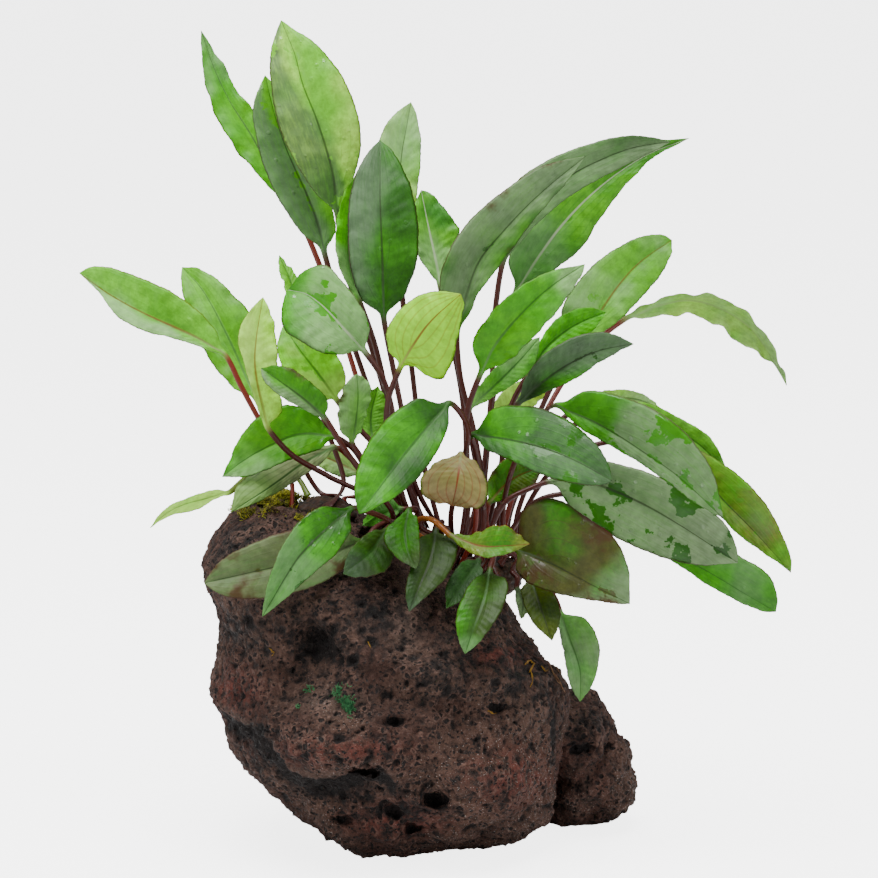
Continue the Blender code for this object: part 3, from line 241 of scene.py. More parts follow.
# %% [markdown]
# ## Floor and light
#
# The clump stands on a white sweep in soft studio light. A wide panel overhead and a little
# in front gives gloss to the leaves that lie flat, whose pale sheen is also painted into
# their colour, a panel on each side keeps the rock readable, and the white surroundings do
# the rest. The camera sees the surroundings brighter than they light the plant, because a
# photographer's white ground is lit on its own.

# %% Floor and lights
FLOOR_HALF, FLOOR_DROP = 9.0, 0.0002
ROOM_LIGHT, ROOM_SEEN, FLOOR_GLOW = 0.36, 6.0, 4.0
PANEL_AIM = (0.0, 0.0, 0.08)
# Where each panel hangs, how wide and high it is in metres, and its power in watts
PANELS = {
    "overhead": ((-0.10, -0.15, 1.0), (0.8, 0.7), 16.5),
    "left_side": ((-0.9, -0.5, 0.45), (0.4, 0.6), 3.0),
    "right_side": ((0.9, -0.6, 0.5), (0.4, 0.6), 3.0),
}


def stage_floor():
    bm = bmesh.new()
    bmesh.ops.create_grid(bm, x_segments=1, y_segments=1, size=FLOOR_HALF)
    mesh = bpy.data.meshes.new("floor")
    bm.to_mesh(mesh)
    bm.free()
    floor = shown("floor", mesh)
    floor.location.z = -FLOOR_DROP
    white, tree, shader = new_finish("white_sweep")
    shader.inputs["Base Color"].default_value = (0.9, 0.9, 0.9, 1.0)
    shader.inputs["Roughness"].default_value = 0.8
    shader.inputs["Specular IOR Level"].default_value = 0.1
    shader.inputs["Emission Color"].default_value = (1.0, 1.0, 1.0, 1.0)
    seen = tree.add("ShaderNodeLightPath").outputs["Is Camera Ray"]
    tree.put(shader.inputs["Emission Strength"], tree.times(seen, FLOOR_GLOW))
    mesh.materials.append(white)


def soft_panel(name, place, size, power):
    light = bpy.data.lights.new(name, "AREA")
    light.shape = "RECTANGLE"
    light.size, light.size_y = size
    light.energy = power
    panel = shown(name, light)
    panel.location = place
    panel.rotation_euler = (Vector(PANEL_AIM) - Vector(place)).to_track_quat("-Z", "Y").to_euler()


def white_room():
    room = bpy.data.worlds.new("white_room")
    room.use_nodes = True
    tree = Tree(room.node_tree)
    back = room.node_tree.nodes["Background"]
    back.inputs["Color"].default_value = (1.0, 1.0, 1.0, 1.0)
    seen = tree.add("ShaderNodeLightPath").outputs["Is Camera Ray"]
    tree.put(back.inputs["Strength"], tree.times_plus(seen, ROOM_SEEN - ROOM_LIGHT, ROOM_LIGHT))
    return room


stage_floor()
for panel_name, setting in PANELS.items():
    soft_panel(panel_name, *setting)
bpy.context.scene.world = white_room()

# %% [markdown]
# ## Reading a leaf back from its solid
#
# A packed leaf is a bag of loose triangles. Merged, it is a chain of rings of four points,
# left edge, front, right edge and rear, and it ends in one point, the tip. Walking outwards
# from the tip over the edges gives the rings one after another. The tip is the only point
# from which every step finds four new ones, so it is found by trying.

# %% Rings of a leaf
RING_LINES = (0, 7, 14, 20, 24, 27, 31, 36, 42, 48, 54, 58)
BLADE_START, TIP_LINE = 24, 60
WELD = 2e-6


def merged(name):
    """A CAD node's mesh as a bmesh with its loose triangles joined."""
    bm = bmesh.new()
    bm.from_mesh(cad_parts[name].data)
    bmesh.ops.remove_doubles(bm, verts=bm.verts, dist=WELD)
    return bm


def walk_rings(bm):
    """Rings of points from the tip of a leaf to its root."""
    for tip in bm.verts:
        rings, seen = [[tip]], {tip}
        while len(rings[-1]):
            ring = {e.other_vert(v) for v in rings[-1] for e in v.link_edges} - seen
            seen |= ring
            rings.append(sorted(ring, key=lambda v: v.index))
        rings.pop()
        if [len(ring) for ring in rings] == [1] + [4] * len(RING_LINES):
            return rings
    raise ValueError("no tip found")


print("a leaf has", len(RING_LINES), "rings and a tip")

# %% [markdown]
# ## Four lines along a leaf
#
# Following each point to its nearest neighbour in the next ring keeps the four lines apart.
# The two that lie far from each other in the broad part are the edges. Of the other two,
# the front is the one that faces the camera.

# %% Lines of a leaf
WIDE_RING, RUN_RING = 8, 6


def chained(rings):
    """The points of the rings from root to tip, in the same order in every ring."""
    lines = [rings[0]]
    for ring in rings[1:]:
        last = lines[-1]
        lines.append(min(
            itertools.permutations(ring),
            key=lambda order: sum((a.co - b.co).length_squared for a, b in zip(order, last)),
        ))
    return np.array([[v.co[:] for v in ring] for ring in reversed(lines)])


def leaf_lines(name):
    """Left edge, front, right edge and rear lines of a leaf from its root to its tip."""
    bm = merged(name)
    rings = walk_rings(bm)
    points, tip = chained(rings[1:]), np.array(rings[0][0].co[:])
    bm.free()
    middle = points[WIDE_RING]
    wide = max(
        itertools.combinations(range(4), 2),
        key=lambda pair: np.linalg.norm(middle[pair[0]] - middle[pair[1]]),
    )
    thin = tuple(k for k in range(4) if k not in wide)
    if (middle[thin[0]] - middle[thin[1]]) @ (np.array(EYE) - middle.mean(0)) < 0:
        thin = thin[::-1]
    side = np.cross(tip - points[RUN_RING].mean(0), middle[thin[0]] - middle[thin[1]])
    if (middle[wide[1]] - middle[wide[0]]) @ side < 0:
        wide = wide[::-1]
    return points[:, [wide[0], thin[0], wide[1], thin[1]]], tip


print("broad front leaf, tip at", leaf_lines("leaf_front_broad")[1].round(3))

# %% [markdown]
# ## A sleeve that becomes a leaf
#
# Stalk and blade grow as one piece, so one mesh makes both. It starts as a cylinder with
# many rings and a pointed end. Around the stalk its rings stay round, and along the blade
# they are pressed flat, so the upper half turns into the upper side of the leaf and the
# lower half into the underside. A cylinder is quick to make and already closed, and all the
# leaves can start from the same one.

# %% Sleeve
AROUND = 40
STALK_RINGS, BLADE_RINGS = 30, 96
ALONG = STALK_RINGS + BLADE_RINGS


def make_sleeve():
    bm = bmesh.new()
    bmesh.ops.create_cone(bm, cap_ends=True, segments=AROUND, radius1=1.0, radius2=1.0, depth=1.0)
    upright = [e for e in bm.edges if abs(e.verts[0].co.z - e.verts[1].co.z) > 0.5]
    bmesh.ops.subdivide_edges(bm, edges=upright, cuts=ALONG - 1, use_grid_fill=True)
    top = [v for v in bm.verts if v.co.z > 0.5 - 0.25 / ALONG]
    bmesh.ops.pointmerge(bm, verts=top, merge_co=(0.0, 0.0, 0.5))
    bmesh.ops.recalc_face_normals(bm, faces=bm.faces)
    mesh = bpy.data.meshes.new("sleeve")
    bm.to_mesh(mesh)
    bm.free()
    return mesh


sleeve = make_sleeve()
sleeve_points = np.array([v.co[:] for v in sleeve.vertices])
sleeve_ring = np.rint((sleeve_points[:, 2] + 0.5) * ALONG).astype(int)
sleeve_turn = np.arctan2(sleeve_points[:, 1], sleeve_points[:, 0]) % (2 * math.pi)
sleeve_turn[sleeve_ring == ALONG] = 0.0
print("sleeve:", len(sleeve.vertices), "points,", len(sleeve.polygons), "faces")

# %% [markdown]
# ## Bending the sleeve onto a leaf
#
# The lines of the solid leaf are known at a dozen places. A smooth curve through them gives
# the midrib and both margins anywhere, and every point of the sleeve is placed between
# them. An array does this for all the points of a leaf at once, which is far quicker than
# moving them one by one.

# %% Curves through a leaf


def follow(knots, points, at):
    """Points of a smooth curve through the given ones, at the wanted places along it."""
    knots = np.asarray(knots, float)
    slopes = np.gradient(points, knots, axis=0)
    low = np.clip(np.searchsorted(knots, at, side="right") - 1, 0, len(knots) - 2)
    width = (knots[low + 1] - knots[low])[:, None]
    t = (at - knots[low])[:, None] / width
    return (
        (2 * t**3 - 3 * t**2 + 1) * points[low]
        + (t**3 - 2 * t**2 + t) * width * slopes[low]
        + (3 * t**2 - 2 * t**3) * points[low + 1]
        + (t**3 - t**2) * width * slopes[low + 1]
    )


def unit(vectors):
    return vectors / np.maximum(np.linalg.norm(vectors, axis=-1, keepdims=True), 1e-12)


def ease(x):
    x = np.clip(x, 0.0, 1.0)
    return x * x * (3 - 2 * x)


def leaf_frame(name):
    """Midrib, edges and directions of a leaf at every ring of the sleeve."""
    lines, tip = leaf_lines(name)
    stations = np.concatenate([
        np.linspace(0, BLADE_START, STALK_RINGS, endpoint=False),
        np.linspace(BLADE_START, TIP_LINE, BLADE_RINGS + 1),
    ])
    closed = np.concatenate([lines, np.repeat(tip[None, None], 4, 1)])
    left, front, right, rear = (
        follow([*RING_LINES, TIP_LINE], closed[:, k], stations) for k in range(4)
    )
    rib = (front + rear) / 2
    run = unit(np.gradient(rib, axis=0))
    last = RING_LINES[-1]
    up = unit(follow(RING_LINES, lines[:, 1] - lines[:, 3], np.minimum(stations, last)))
    across = unit(follow(RING_LINES, lines[:, 2] - lines[:, 0], np.minimum(stations, last - 1)))
    up = unit(up - run * (up * run).sum(1)[:, None])
    length_mm = np.linalg.norm(np.diff(rib[STALK_RINGS:], axis=0), axis=1).sum() * 1000
    return SimpleNamespace(tip=tip, stations=stations, left=left, right=right, rib=rib, up=up,
                           across=across, length_mm=length_mm)


print("broad front leaf, blade", round(leaf_frame("leaf_front_broad").length_mm, 1), "mm long")

# %% [markdown]
# ## What makes the sheet a leaf
#
# A real blade is never flat. The two halves arch a little, the midrib sinks on the upper
# side and stands out below, the veins press in, the surface between them puffs up, and the
# margin waves. All of that lifts the sheet by tenths of a millimetre, at right angles to
# itself, so the leaf keeps its outline. Fields of sines with a phase drawn for each leaf
# are enough for this, and each leaf's own number seeds its phases.

# %% Lift of the sheet
VEINS = ((0.02, 0.80), (0.10, 0.55), (0.22, 0.30))
VEIN_REACH = 0.17
# Heights and widths in millimetres, and the arch as a share of the half width
ARCH, PUFF, BEND = 0.07, 0.07, 0.35
VEIN_DEPTH, VEIN_WIDTH = 0.05, 0.45
GROOVE_ABOVE, KEEL_BELOW, MIDRIB_HALF = 0.16, 0.30, 0.5
WAVES = 4.5
# A point of the sleeve that faces neither up nor down is at the edge
FLAT = 1e-6


def vein_path(along, start, reach):
    """How far out a side vein lies, as a share of the half width, at a place along the blade."""
    return reach * (1 - np.exp(-np.maximum(along - start, 0.0) / VEIN_REACH))


def sheet_lift(v, off, side, half_mm, upper, phase, ruffle_mm, fade):
    """How far each point of the blade stands off the plain sheet, in millimetres."""
    lift = ARCH * half_mm * 4 * off * (1 - off)
    for start, reach in VEINS:
        away = (off - vein_path(v, start, reach)) * half_mm
        lift -= VEIN_DEPTH * np.exp(-(away / VEIN_WIDTH) ** 2) * ease((v - start) / 0.06)
    rows = 14 + 4 * math.sin(phase[0])
    puff = np.sin(2 * math.pi * (rows * v - 1.6 * off) + phase[1] + side * 0.9)
    puff *= np.sin(math.pi * np.clip(off, 0, 1)) * PUFF
    lift += puff
    waves = WAVES + 2 * ruffle_mm
    ruffle = np.sin(2 * math.pi * waves * v + phase[2] + side * 1.3)
    ruffle += 0.5 * np.sin(2 * math.pi * waves * 1.7 * v + phase[3] - side * 0.7)
    lift += ruffle_mm * ruffle * off**2.2
    lift += BEND * np.sin(2 * math.pi * 1.3 * v + phase[4]) * off
    lift *= fade
    narrowing = MIDRIB_HALF * (1.2 - 0.7 * np.clip(v, 0, 1))
    groove = np.exp(-((off * half_mm / narrowing) ** 2)) * fade
    keel = KEEL_BELOW * groove * (upper < -FLAT) * (1 - 0.6 * np.clip(v, 0, 1))
    return lift - (GROOVE_ABOVE * groove * (upper > FLAT) + keel)


# %% [markdown]
# ## One leaf from root to tip
#
# Around the stalk the sleeve's rings stay round, and over a short stretch they open into
# the sheet. Where a ring turns past the edge, the sheet turns from its upper side to its
# underside. The sheet thins towards the margin, and three fast sines nick the margin as
# small bites and tears do. What the material has to know of each point is kept with the
# mesh: its place on the leaf's own map, how wide the blade is there, and which side it is.

# %% Leaf shape
STALK_RADIUS = 0.00074
SHEET_HALF, MARGIN_HALF = 0.00013, 0.00005
NICK_TURNS, NICK_SHARE = (9, 23, 41), 0.045
BASE_FADE, TIP_FADE = 0.08, 0.10


def shape_leaf(name, look, number):
    """The points of one leaf, and what its material needs to know of each."""
    leaf = leaf_frame(name)
    ring, turn = sleeve_ring, sleeve_turn
    rib, up = leaf.rib[ring], leaf.up[ring]
    upper = np.sin(turn)
    on_top, below = upper > FLAT, upper < -FLAT
    share = np.where(turn <= math.pi, 1 - 2 * turn / math.pi, 2 * turn / math.pi - 3)
    side = np.sign(share)
    off = np.abs(share)
    v = ((leaf.stations - BLADE_START) / (TIP_LINE - BLADE_START))[ring]
    edge = np.where((share > 0)[:, None], leaf.right[ring], leaf.left[ring])
    half_mm = np.linalg.norm(edge - rib, axis=1) * 1000
    rng = random.Random(number)
    phase = [rng.uniform(0, 2 * math.pi) for _ in range(6)]
    fade = ease(v / BASE_FADE) * ease((1 - v) / TIP_FADE)
    lift = sheet_lift(v, off, side, half_mm, upper, phase, look["ruffle"], fade)

    nicks = sum(
        np.sin(2 * math.pi * turns * v + phase[k] * (2 + side)) for k, turns in enumerate(NICK_TURNS)
    )
    off = off * (1 + NICK_SHARE * nicks * off * fade / np.maximum(half_mm, 1.0))
    thick = MARGIN_HALF + (SHEET_HALF - MARGIN_HALF) * (1 - np.minimum(off, 1.0)**3)
    thick = thick * (on_top * 1.0 - below * 1.0)
    flat = rib + (edge - rib) * off[:, None] + up * (lift / 1000 + thick)[:, None]
    root = 1 + 0.5 * np.exp(-leaf.stations / 2.0)
    radius = STALK_RADIUS * root[ring] * (1 - 0.12 * np.sin(math.pi * np.clip(v + 1, 0, 1)))
    around = leaf.across[ring] * np.cos(turn)[:, None] + up * np.sin(turn)[:, None]
    spread = ease((leaf.stations[ring] - BLADE_START + 1.0) / 6.5)[:, None]
    points = (rib + around * radius[:, None]) * (1 - spread) + flat * spread
    points[ring == ALONG] = leaf.tip
    under = np.where(on_top, 0.0, np.where(below, 1.0, 0.5))
    under = 1.0 - under if look["turned"] else under
    return points, share, v, half_mm, under, leaf.length_mm


def keep_field(mesh, label, values):
    """Keeps a number for each point of a mesh under a name that materials can read."""
    field = mesh.attributes.new(label, "FLOAT", "POINT")
    field.data.foreach_set("value", np.ascontiguousarray(values, np.float32))


def smooth(mesh):
    mesh.polygons.foreach_set("use_smooth", np.ones(len(mesh.polygons), bool))


def leaf_piece(name, look, number, finish):
    """One finished leaf as an object that replaces its solid."""
    points, share, v, half_mm, under, length_mm = shape_leaf(name, look, number)
    mesh = sleeve.copy()
    mesh.name = name
    mesh.vertices.foreach_set("co", points.ravel())
    smooth(mesh)
    corner = np.empty(len(mesh.loops), int)
    mesh.loops.foreach_get("vertex_index", corner)
    skin = mesh.uv_layers.new(name="skin")
    skin.data.foreach_set("uv", np.column_stack([share / 2 + 0.5, v])[corner].ravel())
    keep_field(mesh, "half_mm", half_mm)
    keep_field(mesh, "under", under)
    mesh.materials.clear()
    mesh.materials.append(finish(name, look, length_mm))
    piece = shown(f"{name}_grown", mesh)
    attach(piece, "root")
    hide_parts(name)
    return piece


print("side veins start at", [start for start, _ in VEINS], "of the blade")

# %% [markdown]
# ## The skin of a leaf: its map
#
# A leaf's colour follows its veins, so the material reads the leaf's own map: how far out
# from the midrib a point lies and how far along the blade. One node group does the work for
# all the leaves, and each leaf's material gives it its greens and amounts. The group is
# long, so it is written in steps. The first one reads the map and two noises. A seed shifts
# the noises, so no two leaves are mottled alike.

# %% Leaf map
STREAK_STRETCH = 0.12


def leaf_map(tree, given):
    """What the group knows of a point of a leaf."""
    own = tree.add("ShaderNodeCombineXYZ")
    tree.put(own.inputs[0], given["Seed"])
    shift = tree.add("ShaderNodeVectorMath", operation="ADD")
    tree.put(shift.inputs[0], tree.place())
    tree.put(shift.inputs[1], own.outputs[0])
    place = shift.outputs[0]
    uv = tree.add("ShaderNodeSeparateXYZ")
    tree.put(uv.inputs[0], tree.add("ShaderNodeUVMap", uv_map="skin").outputs[0])
    share = tree.times_plus(uv.outputs[0], 2.0, -1.0)
    off, along, half = tree.math("ABSOLUTE", share), uv.outputs[1], tree.field("half_mm")
    return SimpleNamespace(
        place=place, share=share, off=off, along=along, half=half, under=tree.field("under"),
        from_rib=tree.times(off, half), along_mm=tree.times(along, given["Length"]),
        broad=tree.noise(place, 62.0, 2.0, 0.5), fine=tree.noise(place, 420.0, 3.0, 0.6),
    )


# %% [markdown]
# ## The skin of a leaf: its veins
#
# The midrib narrows towards the tip. Three side veins on each half leave it and arch
# forward, on the same paths that press into the mesh. Fine cross veins slant between them,
# and below all of it lies a net of cells. Each comes out as a mask from nought to one.

# %% Vein masks


def leaf_veins(tree, at):
    """Masks of the midrib, the side veins, the cross veins and the net."""
    rib_width = tree.ramp(at.along, 0.0, 1.0, 0.5, 0.12)
    rib = tree.ramp(tree.math("DIVIDE", at.from_rib, rib_width), 0.3, 1.1, 1.0, 0.0)
    veins = 0.0
    for start, reach in VEINS:
        grown = tree.times(tree.larger(tree.less(at.along, start), 0.0), -1.0 / VEIN_REACH)
        path = tree.times_plus(tree.math("EXPONENT", grown), -reach, reach)
        away = tree.times(tree.math("ABSOLUTE", tree.less(at.off, path)), at.half)
        line = tree.ramp(away, 0.05, 0.3, 1.0, 0.0)
        line = tree.times(line, tree.ramp(at.along, start, start + 0.06))
        veins = tree.larger(veins, line)
    slant = tree.times_plus(at.from_rib, -0.9, at.along_mm)
    slant = tree.times_plus(at.broad, 6.0, slant)
    cross = tree.math("ABSOLUTE", tree.math("SINE", tree.times(slant, 1.15)))
    cross = tree.ramp(cross, 0.0, 0.16, 1.0, 0.0)
    net = tree.ramp(tree.cells(at.place, 300.0, "DISTANCE_TO_EDGE"), 0.02, 0.16, 1.0, 0.0)
    return SimpleNamespace(rib=rib, side=veins, cross=cross, net=net)


# %% [markdown]
# ## The skin of a leaf: the upper side
#
# Two greens mix in broad patches, the veins show in the darker one, and two fine noises
# mottle them. Over most leaves lies a grey painted sheen, a painted reflection that streaks
# along the blade, stronger on one half or near the tip. Where the leaf is wet, the painted
# sheen is left out and the skin is darker, clear and glossy, most of all along the midrib
# and margin.

# %% Upper side
WET_FROM, WET_TO = 0.725, 0.74


def upper_side(tree, given, at, veins):
    """The colour of the upper side, and masks of its wet patches and its painted sheen."""
    lines = tree.larger(veins.side, tree.times(veins.cross, 0.55))
    lines = tree.larger(lines, tree.times(veins.net, 0.5))
    colour = tree.layers(given["Green"], (
        (tree.ramp(at.broad, 0.38, 0.64), given["Second Green"]),
        (tree.times(lines, given["Veining"]), given["Second Green"]),
    ))
    grain = tree.ramp(tree.noise(at.place, 1500.0, 2.0, 0.6), 0.3, 0.7, 0.92, 1.08)
    colour = tree.scaled(colour, tree.times(tree.ramp(at.fine, 0.28, 0.72, 0.80, 1.20), grain))

    drawn = tree.larger(tree.ramp(at.off, 0.75, 1.0), tree.ramp(at.off, 0.0, 0.2, 1.0, 0.0))
    wet = tree.times_plus(drawn, 0.07, tree.noise(at.place, 95.0, 5.0, 0.62))
    wet = tree.times_plus(given["Wet"], 0.22, wet)
    wet = tree.times(tree.ramp(wet, WET_FROM, WET_TO), tree.ramp(at.under, 0.3, 0.5, 1.0, 0.0))

    # Painted sheen: a grey painted reflection mixed into the colour in streaks and patches
    streaks = tree.add("ShaderNodeCombineXYZ")
    tree.put(streaks.inputs[0], tree.times(at.share, at.half))
    tree.put(streaks.inputs[1], tree.times(at.along_mm, STREAK_STRETCH))
    tree.put(streaks.inputs[2], given["Seed"])
    streaks = tree.noise(streaks.outputs[0], 1.6, 4.0, 0.65)
    level = tree.noise(tree.scaled(at.place, 0.9), 40.0, 3.0, 0.55)
    level = tree.times_plus(tree.times(at.share, given["Sheen Side"]), 0.3, level)
    level = tree.times_plus(tree.less(at.along, 0.5), tree.times(given["Sheen Tip"], 0.6), level)
    level = tree.math("ADD", level, tree.times_plus(given["Sheen Amount"], 0.4, -0.2))
    sheen = tree.times(tree.ramp(level, 0.42, 0.60), tree.less(1.0, wet))
    sheen = tree.times(sheen, tree.ramp(streaks, 0.3, 0.62, 0.72, 1.0))
    # The colour of the painted sheen, mottled a little
    painted_sheen_tint = tree.scaled(given["Sheen"], tree.ramp(at.fine, 0.3, 0.7, 0.86, 1.14))
    colour = tree.layers(colour, (
        (tree.times(sheen, 0.85), painted_sheen_tint), (tree.times(wet, 0.75), given["Second Green"]),
    ))
    return colour, wet, sheen


# %% [markdown]
# ## The skin of a leaf: underside, browning and stalk
#
# The underside is paler, and its veins stand out in the colour of the midrib. Old leaves
# brown in blotches, from the margin or from the middle. The margin itself and the stalk are
# red brown. All of these lie over the upper side, so they are mixed in last, and a final
# step sets how lively the colours are.

# %% Underside and age
VIVID, LIFTED = 1.04, 1.06


def lower_side(tree, given, at, veins):
    """The colour of the underside."""
    veining = given["Veining"]
    below = tree.layers(given["Underside"], (
        (tree.ramp(at.broad, 0.4, 0.65, 0.0, 0.5), given["Green"]),
        (tree.times(veins.side, veining), given["Midrib"]),
        (tree.times(veins.cross, tree.times(veining, 0.3)), given["Midrib"]),
    ))
    return tree.scaled(below, tree.ramp(at.fine, 0.28, 0.72, 0.84, 1.16))


def browned(tree, given, at):
    """A mask of the brown blotches."""
    blotch = tree.times_plus(tree.ramp(at.off, 0.3, 1.0), given["Brown Edge"],
                             tree.noise(at.place, 95.0, 4.0, 0.6))
    limit = tree.times_plus(given["Browning"], -0.55, 0.80)
    brown = tree.ramp(tree.less(blotch, limit), 0.0, 0.16)
    return tree.times(brown, tree.ramp(given["Browning"], 0.0, 0.1))


def whole_colour(tree, given, at, veins, upper, stem):
    """Both sides, the browning, the margin, the midrib and the stalk in one colour."""
    # Near its base the midrib pales towards the painted sheen's colour, partly its own pale base and
    # partly a painted highlight
    rib_colour = tree.mix(tree.ramp(at.along, 0.02, 0.4, 0.55, 0.0), given["Midrib"], given["Sheen"])
    colour = tree.layers(upper, (
        (tree.ramp(at.under, 0.55, 0.9), lower_side(tree, given, at, veins)),
        (browned(tree, given, at), given["Brown"]),
        (tree.ramp(at.off, 0.955, 0.985, 0.0, 0.6), given["Stalk"]),
        (tree.times(veins.rib, tree.ramp(at.under, 0.5, 0.6, 0.7, 0.9)), rib_colour),
        (stem, given["Stalk"]),
    ))
    vivid = tree.add("ShaderNodeHueSaturation")
    vivid.inputs["Saturation"].default_value = VIVID
    vivid.inputs["Value"].default_value = LIFTED
    tree.put(vivid.inputs["Color"], colour)
    return vivid.outputs["Color"]


# %% [markdown]
# ## The skin of a leaf: gloss and relief
#
# The skin under the painted sheen gets a duller gloss than the plain skin, and the wet
# patches are glossier. Small beads of water stand on wet leaves: cells give them their round
# shape, and they only change the gloss and the bump, so no water is modelled. The veins press
# into the bump on both sides.
# The last lines build the group with all its sockets.

# %% Leaf skin group
PLAIN_ROUGH = 0.40
# Sheen and the amounts named after it set the painted sheen, a painted reflection
SKIN_GIVEN = (
    *((label, COLOUR, None) for label in
      ("Green", "Second Green", "Sheen", "Underside", "Midrib", "Stalk", "Brown")),
    ("Length", NUMBER, 50.0), ("Veining", NUMBER, 0.3), ("Sheen Amount", NUMBER, 0.5),
    ("Sheen Side", NUMBER, 0.0), ("Sheen Tip", NUMBER, 0.0), ("Browning", NUMBER, 0.0),
    ("Brown Edge", NUMBER, 0.12), ("Wet", NUMBER, 0.3), ("Seed", NUMBER, 0.0),
)
SKIN_RESULTS = (("Colour", COLOUR), ("Roughness", NUMBER), ("Wetness", NUMBER), ("Height", NUMBER))


def leaf_skin_group():
    group, tree, given, out = new_group("leaf_skin", SKIN_GIVEN, SKIN_RESULTS)
    at = leaf_map(tree, given)
    veins = leaf_veins(tree, at)
    upper, wet, sheen = upper_side(tree, given, at, veins)
    stem = tree.ramp(at.along, -0.03, 0.03, 1.0, 0.0)
    colour = whole_colour(tree, given, at, veins, upper, stem)

    beads = tree.ramp(tree.cells(at.place, 300.0), 0.10, 0.20, 1.0, 0.0)
    beads = tree.times(beads, tree.ramp(tree.noise(at.place, 60.0, 2.0, 0.5), 0.48, 0.54))
    beads = tree.times(beads, tree.ramp(given["Wet"], 0.2, 0.6))
    rough = tree.times_plus(at.fine, 0.14, PLAIN_ROUGH)
    rough = tree.times_plus(sheen, 0.08, rough)
    rough = tree.times_plus(tree.larger(tree.times(wet, 0.35), beads), -0.34, rough)
    coat = tree.times_plus(wet, 0.25, tree.times(stem, 0.3))
    height = tree.times_plus(veins.rib, -0.8, tree.times(veins.side, -0.5))
    for mask, amount in ((veins.cross, -0.3), (at.fine, 0.3), (beads, 16.0)):
        height = tree.times_plus(mask, amount, height)
    tree.put(out["Colour"], colour)
    tree.put(out["Roughness"], rough)
    tree.put(out["Wetness"], tree.larger(coat, beads))
    tree.put(out["Height"], height)
    return group


leaf_skin = leaf_skin_group()
print("leaf skin nodes", len(leaf_skin.nodes))

# %% [markdown]
# ## Greens, painted sheens and midribs
#
# No two leaves here look the same. New ones are bright, old ones are dark or browned, some
# show the pale underside, and those that lie flat carry a grey painted sheen, a painted
# reflection. A palette with plain names keeps their colours in one place.

# %% Palette
GREENS = {
    "bright": tone(78, 172, 10), "fresh": tone(62, 142, 16), "light": tone(104, 176, 50),
    "pale": tone(158, 208, 84), "mid": tone(52, 116, 18), "sea": tone(58, 120, 40),
    "grey": tone(74, 104, 54), "dark": tone(34, 78, 16), "deep": tone(26, 56, 8),
    "shade": tone(40, 62, 12), "olive": tone(70, 84, 18), "yellow": tone(130, 166, 28),
    "tan": tone(138, 116, 84), "glow": tone(112, 206, 22), "leafy": tone(84, 154, 34),
    "hay": tone(104, 116, 38), "lime": tone(142, 208, 46), "dusty": tone(146, 158, 112),
    "umber": tone(66, 68, 28),
}
# The colours of the painted sheen, a painted reflection of the bright room
PAINTED_SHEENS = {
    "light": tone(132, 172, 110), "soft": tone(92, 132, 78), "grey": tone(88, 112, 82),
    "cool": tone(60, 82, 56), "silver": tone(106, 130, 92), "dusk": tone(74, 98, 64),
    "ash": tone(94, 104, 72), "bright": tone(164, 208, 92), "mist": tone(124, 146, 108),
}
# The white midrib is partly the rib's own pale colour and partly a painted highlight along it
RIBS = {
    "pale": tone(150, 176, 110), "green": tone(40, 78, 22), "red": tone(118, 50, 30),
    "dark": tone(36, 44, 20), "white": tone(186, 196, 166),
}
STALKS = {
    "red": tone(112, 40, 28), "dark": tone(70, 28, 22), "green": tone(92, 112, 36),
    "orange": tone(132, 76, 30),
}
BROWN = tone(68, 52, 28)
print("colours in the palette:", len({**GREENS, **PAINTED_SHEENS, **RIBS, **STALKS}))
